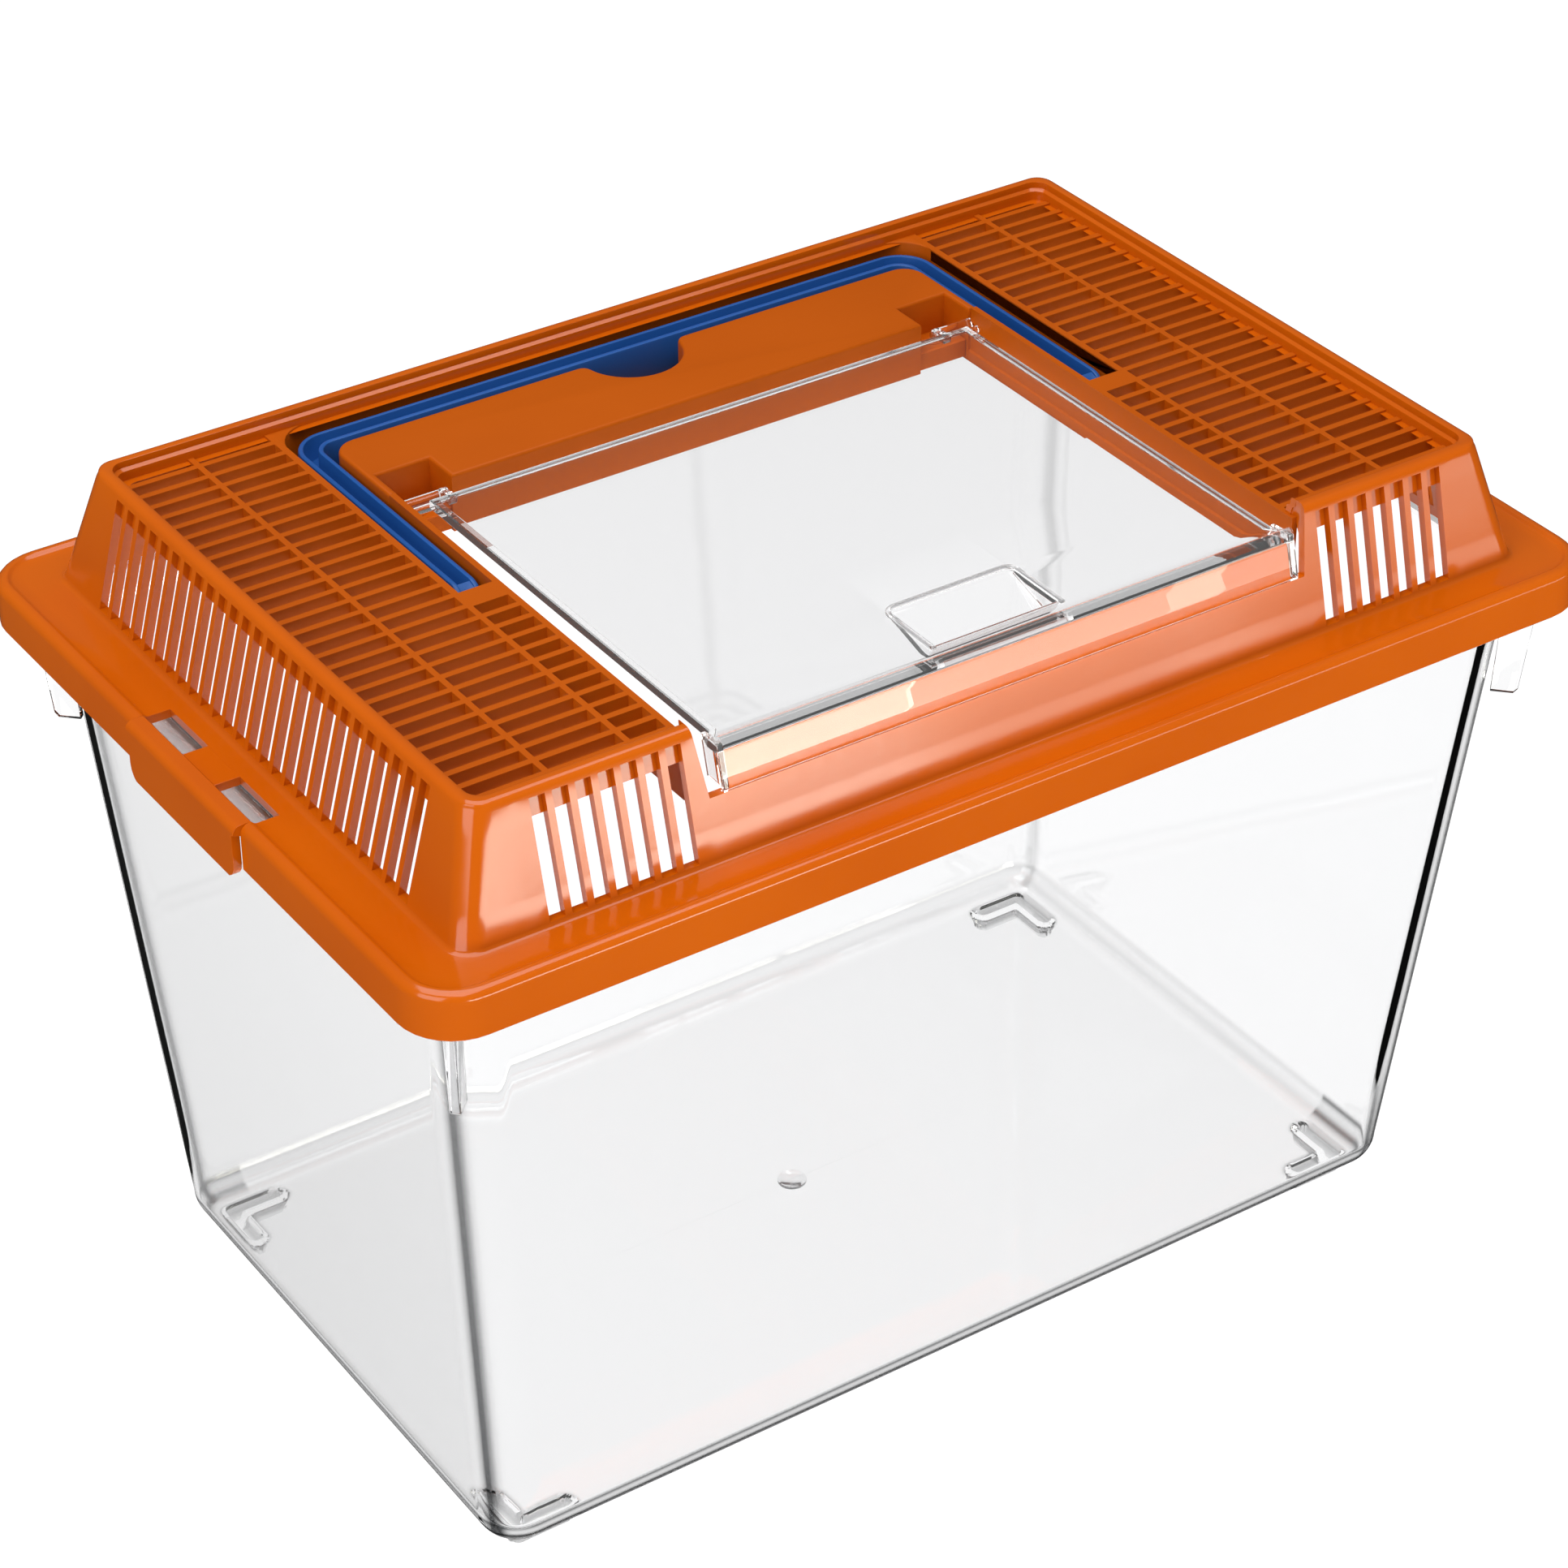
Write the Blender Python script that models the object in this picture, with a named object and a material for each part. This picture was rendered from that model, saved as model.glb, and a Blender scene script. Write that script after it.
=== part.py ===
"""A small-animal carrying box: a clear tapered tank, a vented lid with a clear hatch and a carrying handle.

Sizes below are in millimetres and reach the meshes through MM, so the scene is in metres with +Z up. The origin
is the centre of the base, the long side lies along X, and the hatch opens at the front, towards -Y.
"""

import math

import bmesh
import bpy
from mathutils import Matrix, Vector

MM = 0.001
GAP = 0.3  # left between neighbouring nodes of one moulding
BELOW, ABOVE = 160.0, 215.0  # heights clear of the lid, for cutters that pass right through it

# Tank
FOOT_DROP = 4.0  # the feet reach this far below the floor
WALL = 2.0
WALL_SLOPE = 0.0803  # every wall leans outwards by this much for each unit of height
TANK_X, TANK_Y = 125.9, 74.65  # half sizes at the underside of the floor
TANK_CORNER = 9.5
RIM_X, RIM_Y, RIM_LOW, RIM_HIGH = 146.0, 95.5, 175.2, 177.2
FOOT_X, FOOT_Y, FOOT_ARM, FOOT_WIDTH = 119.1, 67.45, 16.5, 5.0
FIN_LOW, FIN_WIDTH, FIN_THICK = 143.0, 7.3, 2.2

# Lid flange and its two snap tabs
FLANGE_X, FLANGE_Y, FLANGE_CORNER = 150.0, 99.6, 13.0
SKIRT_LOW, FLANGE_LOW, DISH, FLANGE_TOP = 169.2, 177.6, 179.6, 180.4
DISH_X, DISH_Y = 147.3, 96.5
TAB_HALF, TAB_LOW, TAB_OUT, SLOT_IN, STRIP_HALF = 23.4, 166.6, 151.7, 141.0, 7.0
STRIP_LOW, STRIP_HIGH = 178.3, 180.1  # the strip that carries the tab
BARB_NEAR, BARB_FAR, BARB_LOW, BARB_HIGH, BARB_CLEAR = 10.0, 20.0, 170.5, 174.5, 0.35
LATCH_X, LATCH_Z = 141.5, 179.3  # the tab bends about this line

# Crown
CROWN_TOP, CROWN_X, CROWN_Y = 208.1, 136.15, 87.9  # half sizes where the walls meet the flange
LIP_X, LIP_Y = 125.0, 77.3  # inside of the crown's top edge
CROWN_LEAN_X, CROWN_LEAN_Y = 7.45, 7.6
PLATE_LOW, PLATE_TOP = 201.3, 204.2
PITCH, GRILLE_GAPS, SIDE_GAPS, FRONT_GAPS, GAP_WIDTH = 5.207, 30, 26, 7, 3.6
VENT_LOW, VENT_HIGH = 181.5, 201.0
VENT_START = 4.6  # from the split to the middle of the first front vent
MITRE = 0.45  # left along a wall, so that two of them stay GAP apart at their slanting joint
GRILLE_COLUMNS = ((107.25, 125.0), (88.25, 105.75))
NEAR_COLUMN = (78.2, 86.75)  # only in front of the handle's channel
OPENING_X = 76.9  # half width of the hatch opening
FRONT_SPLIT = 78.0  # the front wall is lower between these
NOTCH_X, NOTCH_Z = 71.7, 193.0  # the hatch lip's ends pass through notches from here outwards

# Handle and the channel that it lies in
CHANNEL_IN, CHANNEL_OUT, CHANNEL_FRONT, CHANNEL_REAR, CHANNEL_FLOOR = 78.4, 86.6, -4.9, 76.6, 190.5
SKIN = 1.5  # wall of the channel
WALL_FOOT = 195.0  # foot of the walls that rise from the channel to the deck
HANDLE_IN, HANDLE_OUT, HANDLE_FRONT, HANDLE_BAR, HANDLE_REAR = 79.3, 84.85, -2.3, 69.0, 74.5
HANDLE_LOW, HANDLE_TOP, HANDLE_END = 191.7, 202.55, 4.0
HANDLE_WIDE, HANDLE_TIGHT, HANDLE_RIB, GROOVE_FLOOR = 8.75, 4.0, 1.27, 197.0
PIVOT_Y, PIVOT_Z, PIN_RADIUS, PIN_LENGTH = 3.5, 197.3, 2.2, 3.0

# Rear bridge, between the channel and the hatch
BRIDGE_FRONT, BRIDGE_REAR, THUMB_RADIUS = 38.5, 65.0, 12.0
SEAT_IN, SEAT_OUT, SEAT_REAR, SEAT_FLOOR = 62.8, 76.6, 48.3, 196.0
APRON_LOW = 190.0  # foot of the bridge's front wall

# Hatch
HATCH_X, HATCH_REAR, HATCH_FRONT, HATCH_LOW, HATCH_TOP = 71.75, 32.9, -81.4, 201.6, 203.6
LIP_OUT, LIP_THICK = 1.6, 1.3  # the lip hangs this far outside the front wall
HATCH_LIP_X, HATCH_LIP_LOW, HATCH_LIP_TOP, RETURN_DEPTH = 73.55, 193.7, 204.8, 6.1
SCOOP_X, SCOOP_REAR, SCOOP_FRONT, SCOOP_FLOOR, SCOOP_WALL = 16.3, -59.0, -76.0, 198.6, 1.1
HINGE_Y, HINGE_Z, HINGE_RADIUS, HINGE_IN, HINGE_OUT = 37.2, 200.6, 1.6, 65.0, 76.3
EAR_TOP = 202.0

SIDES = (("left", -1), ("right", 1))
ENDS = (("front", -1), ("rear", 1))


def crown(z, inner=False):
    """Half sizes of the crown's outside, or of its inside, at height z."""
    t = (z - DISH) / (CROWN_TOP - DISH)
    if inner:
        return (
            CROWN_X - WALL + (LIP_X - CROWN_X + WALL) * t,
            CROWN_Y - WALL + (LIP_Y - CROWN_Y + WALL) * t,
        )
    return CROWN_X - CROWN_LEAN_X * t, CROWN_Y - CROWN_LEAN_Y * t


# Shapes. Each returns a bmesh in millimetres.


def shaped_cube(place):
    """A cube whose corner at (i, j, k), each 0 or 1, moves to place(i, j, k)."""
    bm = bmesh.new()
    bmesh.ops.create_cube(bm, size=2)
    for vert in bm.verts:
        vert.co = place(*(int(value > 0) for value in vert.co))
    bmesh.ops.recalc_face_normals(bm, faces=bm.faces)
    return bm


def box(x0, x1, y0, y1, z0, z1):
    xs, ys, zs = sorted((x0, x1)), sorted((y0, y1)), sorted((z0, z1))
    return shaped_cube(lambda i, j, k: (xs[i], ys[j], zs[k]))


def rounded_box(half_x, half_y, z0, z1, radius, lean=0.0, round_base=False):
    """A box about the Z axis with rounded upright edges, whose walls lean outwards by lean per unit of height."""

    def place(i, j, k):
        grow = lean * (z1 - z0) * k
        return (2 * i - 1) * (half_x + grow), (2 * j - 1) * (half_y + grow), (z0, z1)[k]

    bm = shaped_cube(place)
    edges = [
        edge
        for edge in bm.edges
        if abs(edge.verts[0].co.z - edge.verts[1].co.z) > 1
        or (round_base and max(vert.co.z for vert in edge.verts) == z0)
    ]
    bmesh.ops.bevel(bm, geom=edges, offset=radius, segments=4, profile=0.5, affect="EDGES")
    return bm


def cylinder(radius, centre, length, axis="Z", segments=24):
    """A cylinder about centre, along X or Z."""
    bm = bmesh.new()
    turn = Matrix.Rotation(math.pi / 2, 4, "Y") if axis == "X" else Matrix()
    bmesh.ops.create_cone(
        bm,
        cap_ends=True,
        segments=segments,
        radius1=radius,
        radius2=radius,
        depth=length,
        matrix=Matrix.Translation(centre) @ turn,
    )
    return bm


def together(shapes):
    """Several shapes that don't touch, in one mesh."""
    bm = bmesh.new()
    for shape in shapes:
        mesh = bpy.data.meshes.new("shape")
        shape.to_mesh(mesh)
        shape.free()
        bm.from_mesh(mesh)
        bpy.data.meshes.remove(mesh)
    return bm


def rounded_corners(corners, steps=5):
    """The outline through right-angled (x, y, radius) corners, each rounded with an arc of its radius."""
    points = []
    for index, (x, y, radius) in enumerate(corners):
        corner = Vector((x, y))
        arriving = (corner - Vector(corners[index - 1][:2])).normalized() * radius
        leaving = (Vector(corners[(index + 1) % len(corners)][:2]) - corner).normalized() * radius
        centre = corner - arriving + leaving
        for step in range(steps + 1 if radius else 1):
            angle = math.pi / 2 * step / steps
            points.append(centre - leaving * math.cos(angle) + arriving * math.sin(angle))
    return points


def slab(points, z0, z1):
    """A flat outline made solid from z0 to z1."""
    curve = bpy.data.curves.new("outline", "CURVE")
    curve.dimensions = "2D"
    curve.fill_mode = "BOTH"
    curve.extrude = (z1 - z0) / 2
    spline = curve.splines.new("POLY")
    spline.points.add(len(points) - 1)
    spline.use_cyclic_u = True
    for place, (x, y) in zip(spline.points, points):
        place.co = (x, y, 0, 1)
    guide = bpy.data.objects.new("outline", curve)
    CUTTERS.objects.link(guide)
    graph = bpy.context.evaluated_depsgraph_get()
    mesh = bpy.data.meshes.new_from_object(guide.evaluated_get(graph))
    bm = bmesh.new()
    bm.from_mesh(mesh)
    bmesh.ops.remove_doubles(bm, verts=bm.verts, dist=0.001)
    bmesh.ops.translate(bm, verts=bm.verts, vec=(0, 0, (z0 + z1) / 2))
    bmesh.ops.recalc_face_normals(bm, faces=bm.faces)
    bpy.data.objects.remove(guide)
    return bm


def half_round(centre_y, radius, z0, z1):
    """A round that bulges towards -Y from centre_y, with a short straight run behind it."""
    steps = 16
    arc = [
        (-radius * math.cos(math.pi * n / steps), centre_y - radius * math.sin(math.pi * n / steps))
        for n in range(steps + 1)
    ]
    return slab(arc + [(radius, centre_y + 1), (-radius, centre_y + 1)], z0, z1)


# Objects


def mesh_object(name, bm, collection, pivot=(0, 0, 0)):
    bmesh.ops.translate(bm, verts=bm.verts, vec=[-value for value in pivot])
    bmesh.ops.scale(bm, verts=bm.verts, vec=(MM, MM, MM))
    mesh = bpy.data.meshes.new(name)
    bm.to_mesh(mesh)
    bm.free()
    made = bpy.data.objects.new(name, mesh)
    collection.objects.link(made)
    return made


def piece(name, body, material, shape, join=(), cut=(), keep=()):
    """One node: a shape, the shapes joined to it, those cut from it, and those whose inside it is kept to."""
    made = mesh_object(name, shape, PARTS, BODIES[body][0])
    made.parent = FRAMES[body]
    made.data.materials.append(material)
    steps = [("UNION", other) for other in join]
    steps += [("DIFFERENCE", other) for other in cut]
    steps += [("INTERSECT", other) for other in keep]
    for index, (operation, other) in enumerate(steps):
        helper = mesh_object(f"{name}_{operation.lower()}_{index}", other, CUTTERS)
        helper.hide_render = True
        helper.display_type = "WIRE"
        boolean = made.modifiers.new(helper.name, "BOOLEAN")
        boolean.operation = operation
        boolean.solver = "EXACT"
        boolean.object = helper
    return made


def plastic(name, colour, roughness, alpha=1.0):
    material = bpy.data.materials.new(name)
    material.use_nodes = True
    shader = material.node_tree.nodes["Principled BSDF"]
    shader.inputs["Base Color"].default_value = (*colour, 1)
    shader.inputs["Roughness"].default_value = roughness
    shader.inputs["Metallic"].default_value = 0
    shader.inputs["Alpha"].default_value = alpha
    return material


def make_tank(clear):
    lean_at = WALL_SLOPE * WALL
    inside = rounded_box(
        TANK_X - WALL + lean_at,
        TANK_Y - WALL + lean_at,
        FOOT_DROP + WALL,
        RIM_HIGH + 5,
        TANK_CORNER - WALL,
        WALL_SLOPE,
        True,
    )
    piece(
        "tank_shell",
        "tank",
        clear,
        rounded_box(TANK_X, TANK_Y, FOOT_DROP, RIM_HIGH - 0.5, TANK_CORNER, WALL_SLOPE, True),
        join=[rounded_box(RIM_X, RIM_Y, RIM_LOW, RIM_HIGH, 12)],
        cut=[inside],
    )
    for end, sy in ENDS:
        for side, sx in SIDES:
            arm, cross = FOOT_X - FOOT_ARM, FOOT_Y - FOOT_ARM
            piece(
                f"foot_{end}_{side}",
                "tank",
                clear,
                box(sx * arm, sx * FOOT_X, sy * (FOOT_Y - FOOT_WIDTH), sy * FOOT_Y, 0, FOOT_DROP - GAP),
                join=[box(sx * (FOOT_X - FOOT_WIDTH), sx * FOOT_X, sy * cross, sy * FOOT_Y, 0, FOOT_DROP - GAP)],
            )
            make_fin(f"corner_fin_{end}_{side}", clear, sx, sy)


def make_fin(name, material, sx, sy):
    """An upright plate that stands out of the tank's corner on the diagonal, below the rim."""
    out = Vector((sx, sy)) * math.sqrt(0.5)
    across = Vector((-out.y, out.x)) * FIN_THICK / 2
    rounding = TANK_CORNER * (math.sqrt(2) - 1)  # from the sharp corner in to the rounded one

    def place(i, j, k):
        z = (FIN_LOW, RIM_LOW - GAP)[k]
        grow = WALL_SLOPE * (z - FOOT_DROP)
        corner = Vector((sx * (TANK_X + grow), sy * (TANK_Y + grow)))
        x, y = corner + out * (GAP + 0.1 - rounding + i * FIN_WIDTH) + across * (2 * j - 1)
        return x, y, z

    piece(name, "tank", material, shaped_cube(place))


def make_flange(orange):
    tabs = [
        box(sx * SLOT_IN, sx * (TAB_OUT + 5), -TAB_HALF - GAP, TAB_HALF + GAP, BELOW, ABOVE) for _, sx in SIDES
    ]
    piece(
        "lid_flange",
        "lid",
        orange,
        rounded_box(FLANGE_X, FLANGE_Y, SKIRT_LOW, FLANGE_TOP, FLANGE_CORNER),
        cut=[
            rounded_box(FLANGE_X - WALL, FLANGE_Y - WALL, BELOW, FLANGE_LOW, FLANGE_CORNER - WALL),
            rounded_box(DISH_X, DISH_Y, DISH, ABOVE, FLANGE_CORNER - WALL),
            rounded_box(CROWN_X - WALL - 0.15, CROWN_Y - WALL - 0.2, BELOW, ABOVE, 4),
            together(tabs),
        ],
    )
    for side, sx in SIDES:
        piece(
            f"latch_tab_{side}",
            f"latch_{side}",
            orange,
            box(sx * (TAB_OUT - WALL), sx * TAB_OUT, -TAB_HALF, TAB_HALF, TAB_LOW, FLANGE_TOP),
            join=[
                box(sx * (SLOT_IN + GAP), sx * (TAB_OUT - 1), -STRIP_HALF, STRIP_HALF, STRIP_LOW, STRIP_HIGH),
                *(
                    box(sx * (RIM_X + BARB_CLEAR), sx * (TAB_OUT - 1), y0, y1, BARB_LOW, BARB_HIGH)
                    for y0, y1 in ((-BARB_FAR, -BARB_NEAR), (BARB_NEAR, BARB_FAR))
                ),
            ],
        )


def make_crown(orange):
    base = DISH + GAP
    centred = [(n - (SIDE_GAPS - 1) / 2) * PITCH for n in range(SIDE_GAPS)]
    for side, sx in SIDES:

        def end_wall(i, j, k, sx=sx):
            x, y = crown((base, CROWN_TOP)[k], inner=i == 0)
            return sx * x, (2 * j - 1) * (y - MITRE), (base, CROWN_TOP)[k]

        half = GAP_WIDTH / 2
        vents = [box(sx * (LIP_X - 10), sx * FLANGE_X, y - half, y + half, VENT_LOW, VENT_HIGH) for y in centred]
        piece(f"crown_wall_{side}", "lid", orange, shaped_cube(end_wall), cut=[together(vents)])

        def front_wall(i, j, k, sx=sx):
            x, y = crown((base, CROWN_TOP)[k], inner=j == 0)
            return sx * (x if i else FRONT_SPLIT), -y, (base, CROWN_TOP)[k]

        centres = [FRONT_SPLIT + VENT_START + PITCH * n for n in range(FRONT_GAPS)]
        vents = [
            box(sx * (x - half), sx * (x + half), -FLANGE_Y, 5 - LIP_Y, VENT_LOW, VENT_HIGH) for x in centres
        ]
        piece(f"crown_wall_front_{side}", "lid", orange, shaped_cube(front_wall), cut=[together(vents)])

    def middle_wall(i, j, k):
        z = (base, PLATE_LOW)[k]
        return (2 * i - 1) * (FRONT_SPLIT - GAP), -crown(z, inner=j == 0)[1], z

    slots = [box(sx * NOTCH_X, sx * (FRONT_SPLIT + 2), -FLANGE_Y, 5 - LIP_Y, NOTCH_Z, ABOVE) for _, sx in SIDES]
    piece("crown_wall_front_middle", "lid", orange, shaped_cube(middle_wall), cut=[together(slots)])

    def rear_wall(i, j, k):
        x, y = crown((base, CROWN_TOP)[k], inner=j == 0)
        return (2 * i - 1) * x, y, (base, CROWN_TOP)[k]

    piece("crown_wall_rear", "lid", orange, shaped_cube(rear_wall))


def make_grilles(orange):
    edge_x, edge_y = crown(PLATE_TOP, inner=True)
    for side, sx in SIDES:
        holes = []
        for n in range(GRILLE_GAPS):
            y = (n - (GRILLE_GAPS - 1) / 2) * PITCH
            columns = GRILLE_COLUMNS + ((NEAR_COLUMN,) if y < CHANNEL_FRONT - PITCH else ())
            half = GAP_WIDTH / 2
            holes += [box(sx * x0, sx * x1, y - half, y + half, WALL_FOOT, ABOVE) for x0, x1 in columns]
        piece(
            f"grille_{side}",
            "lid",
            orange,
            box(sx * OPENING_X, sx * (edge_x - GAP), GAP - edge_y, edge_y - GAP, PLATE_LOW, PLATE_TOP),
            cut=[
                box(sx * (OPENING_X - 5), sx * NEAR_COLUMN[1], CHANNEL_FRONT, FLANGE_Y, WALL_FOOT, ABOVE),
                together(holes),
            ],
        )


def make_channel(orange):
    low, under = CHANNEL_FLOOR - 1.8, PLATE_LOW - GAP
    back = CHANNEL_REAR + SKIN
    for side, sx in SIDES:
        piece(
            f"handle_channel_{side}",
            "lid",
            orange,
            box(sx * OPENING_X, sx * (CHANNEL_OUT + SKIN), CHANNEL_FRONT - SKIN, back, low, under),
            cut=[
                box(sx * CHANNEL_IN, sx * CHANNEL_OUT, CHANNEL_FRONT, CHANNEL_REAR, CHANNEL_FLOOR, ABOVE),
                box(sx * (OPENING_X - 5), sx * CHANNEL_OUT, BRIDGE_REAR, CHANNEL_REAR, CHANNEL_FLOOR, ABOVE),
            ],
            join=[
                box(
                    sx * OPENING_X, sx * CHANNEL_IN, CHANNEL_FRONT + GAP, BRIDGE_FRONT - GAP, WALL_FOOT, PLATE_TOP
                ),
                box(sx * OPENING_X, sx * (CHANNEL_OUT - GAP), CHANNEL_REAR, back, WALL_FOOT, PLATE_TOP),
            ],
        )
    reach = OPENING_X - GAP
    thumb = THUMB_RADIUS + SKIN
    piece(
        "handle_channel_rear",
        "lid",
        orange,
        box(-reach, reach, BRIDGE_REAR - SKIN, back, low, under),
        join=[
            box(-thumb, thumb, BRIDGE_REAR - thumb, BRIDGE_REAR, low, under),
            box(-reach, reach, CHANNEL_REAR, back, WALL_FOOT, PLATE_TOP),
        ],
        cut=[
            box(-CHANNEL_OUT, CHANNEL_OUT, BRIDGE_REAR, CHANNEL_REAR, CHANNEL_FLOOR, ABOVE),
            half_round(BRIDGE_REAR, THUMB_RADIUS, CHANNEL_FLOOR, ABOVE),
        ],
    )


def make_bridge(orange):
    seats = [
        box(
            sx * (SEAT_IN - SKIN),
            sx * (OPENING_X - GAP - 0.6),
            BRIDGE_FRONT,
            SEAT_REAR + SKIN,
            SEAT_FLOOR - SKIN,
            PLATE_LOW + 1,
        )
        for _, sx in SIDES
    ]
    hollows = [box(sx * SEAT_IN, sx * SEAT_OUT, HATCH_REAR, SEAT_REAR, SEAT_FLOOR, ABOVE) for _, sx in SIDES]
    reach = OPENING_X - GAP
    apron = box(-reach, reach, BRIDGE_FRONT, BRIDGE_FRONT + SKIN, APRON_LOW, PLATE_LOW + 1)
    piece(
        "rear_bridge",
        "lid",
        orange,
        box(-CHANNEL_IN, CHANNEL_IN, BRIDGE_FRONT, BRIDGE_REAR, PLATE_LOW, PLATE_TOP),
        join=[apron, *seats],
        cut=[together(hollows), half_round(BRIDGE_REAR, THUMB_RADIUS, WALL_FOOT, ABOVE)],
    )


def make_handle(blue):
    def bow(inner, outer, front, bar, rear, z0, z1):
        """A U seen from above, open towards -Y."""
        corners = [(-outer, front, 0), (-outer, rear, HANDLE_WIDE), (outer, rear, HANDLE_WIDE)]
        corners += [(outer, front, 0), (inner, front, 0), (inner, bar, HANDLE_TIGHT)]
        corners += [(-inner, bar, HANDLE_TIGHT), (-inner, front, 0)]
        return slab(rounded_corners(corners), z0, z1)

    past = HANDLE_OUT + 10
    side_view = rounded_corners(
        [
            (HANDLE_FRONT, HANDLE_LOW, HANDLE_END),
            (past, HANDLE_LOW, 0),
            (past, HANDLE_TOP, 0),
            (HANDLE_FRONT, HANDLE_TOP, HANDLE_END),
        ]
    )
    profile = slab(side_view, -past, past)
    turn = Matrix(((0, 0, 1, 0), (1, 0, 0, 0), (0, 1, 0, 0), (0, 0, 0, 1)))  # its x, y and z become Y, Z and X
    bmesh.ops.transform(profile, matrix=turn, verts=profile.verts)
    rib, half = HANDLE_RIB, PIN_LENGTH / 2
    pins = [
        cylinder(PIN_RADIUS, (sx * x, PIVOT_Y, PIVOT_Z), PIN_LENGTH, "X", 16)
        for _, sx in SIDES
        for x in (CHANNEL_OUT - GAP - half, CHANNEL_IN + GAP + half)
    ]
    groove = bow(
        HANDLE_IN + rib,
        HANDLE_OUT - rib,
        PIVOT_Y + PIN_RADIUS + 1,
        HANDLE_BAR + rib,
        HANDLE_REAR - rib,
        GROOVE_FLOOR,
        ABOVE,
    )
    blank = bow(HANDLE_IN, HANDLE_OUT, HANDLE_FRONT, HANDLE_BAR, HANDLE_REAR, BELOW, ABOVE)
    piece("handle_grip", "handle", blue, blank, join=pins, cut=[groove], keep=[profile])


def make_hatch(clear):
    def tray(grow, top):
        """The finger scoop's wedge, which deepens towards the front."""

        def place(i, j, k):
            y = (SCOOP_FRONT - grow, SCOOP_REAR + grow)[j]
            floor = (SCOOP_FLOOR, HATCH_TOP - 0.6)[j] - grow
            return (2 * i - 1) * (SCOOP_X + grow), y, top if k else floor

        return shaped_cube(place)

    piece(
        "hatch_panel",
        "hatch",
        clear,
        box(-HATCH_X, HATCH_X, HATCH_FRONT, HATCH_REAR, HATCH_LOW, HATCH_TOP),
        join=[tray(SCOOP_WALL, HATCH_TOP - 0.3)],
        cut=[tray(0, ABOVE)],
    )

    def lip(x0, x1, behind, z0, z1):
        """A strip that follows the slanting front wall outside it, and reaches behind by this much."""

        def place(i, j, k):
            z = (z0, z1)[k]
            return (x0, x1)[i], -crown(z)[1] - LIP_OUT + (0, behind)[j], z

        return shaped_cube(place)

    returns = [
        lip(*sorted((sx * (HATCH_LIP_X - LIP_THICK), sx * HATCH_LIP_X)), RETURN_DEPTH, HATCH_LIP_LOW, HATCH_TOP)
        for _, sx in SIDES
    ]
    piece(
        "hatch_lip",
        "hatch",
        clear,
        lip(-HATCH_LIP_X, HATCH_LIP_X, LIP_THICK, HATCH_LIP_LOW, HATCH_LIP_TOP),
        join=returns,
    )
    for side, sx in SIDES:
        middle = sx * (HINGE_IN + HINGE_OUT) / 2
        piece(
            f"hatch_hinge_{side}",
            "hatch",
            clear,
            cylinder(HINGE_RADIUS, (middle, HINGE_Y, HINGE_Z), HINGE_OUT - HINGE_IN, "X", 16),
            join=[box(sx * (HINGE_IN + 0.5), sx * (HATCH_X - GAP), HATCH_REAR + GAP, HINGE_Y, HINGE_Z, EAR_TOP)],
        )


for old in list(bpy.data.objects):
    bpy.data.objects.remove(old)

PARTS = bpy.data.collections.new("carrying_box")
CUTTERS = bpy.data.collections.new("cutters")
for collection in (PARTS, CUTTERS):
    bpy.context.scene.collection.children.link(collection)

# Each moving body: the point of its joint, and the body that carries it.
BODIES = {
    "tank": ((0, 0, 0), None),
    "lid": ((0, 0, RIM_HIGH), "tank"),
    "handle": ((0, PIVOT_Y, PIVOT_Z), "lid"),
    "hatch": ((0, HINGE_Y, HINGE_Z), "lid"),
    "latch_left": ((-LATCH_X, 0, LATCH_Z), "lid"),
    "latch_right": ((LATCH_X, 0, LATCH_Z), "lid"),
}
FRAMES = {}
for body, (pivot, carrier) in BODIES.items():
    frame = bpy.data.objects.new(f"{body}_frame", None)
    PARTS.objects.link(frame)
    start = Vector(BODIES[carrier][0]) if carrier else Vector()
    frame.location = (Vector(pivot) - start) * MM
    frame.parent = FRAMES.get(carrier)
    FRAMES[body] = frame

CLEAR = plastic("clear_plastic", (0.93, 0.95, 0.95), 0.05, alpha=0.3)
ORANGE = plastic("orange_plastic", (0.61, 0.107, 0.002), 0.25)
BLUE = plastic("blue_plastic", (0.013, 0.08, 0.35), 0.3)

make_tank(CLEAR)
make_flange(ORANGE)
make_crown(ORANGE)
make_grilles(ORANGE)
make_channel(ORANGE)
make_bridge(ORANGE)
make_handle(BLUE)
make_hatch(CLEAR)
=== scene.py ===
import math

import bpy
import numpy as np
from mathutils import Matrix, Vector


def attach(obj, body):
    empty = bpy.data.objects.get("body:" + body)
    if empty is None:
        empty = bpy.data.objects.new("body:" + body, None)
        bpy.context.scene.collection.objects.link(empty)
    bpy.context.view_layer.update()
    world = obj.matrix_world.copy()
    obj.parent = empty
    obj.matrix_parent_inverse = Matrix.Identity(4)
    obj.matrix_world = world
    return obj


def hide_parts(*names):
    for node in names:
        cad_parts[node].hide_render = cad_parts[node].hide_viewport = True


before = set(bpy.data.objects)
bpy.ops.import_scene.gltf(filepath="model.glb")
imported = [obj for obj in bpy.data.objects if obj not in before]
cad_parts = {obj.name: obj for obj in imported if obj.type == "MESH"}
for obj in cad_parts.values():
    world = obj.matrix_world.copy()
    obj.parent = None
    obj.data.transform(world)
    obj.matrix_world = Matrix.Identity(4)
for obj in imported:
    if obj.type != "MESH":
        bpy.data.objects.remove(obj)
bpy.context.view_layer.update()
print("frame loaded")

mm = 0.001  # metres


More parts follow.
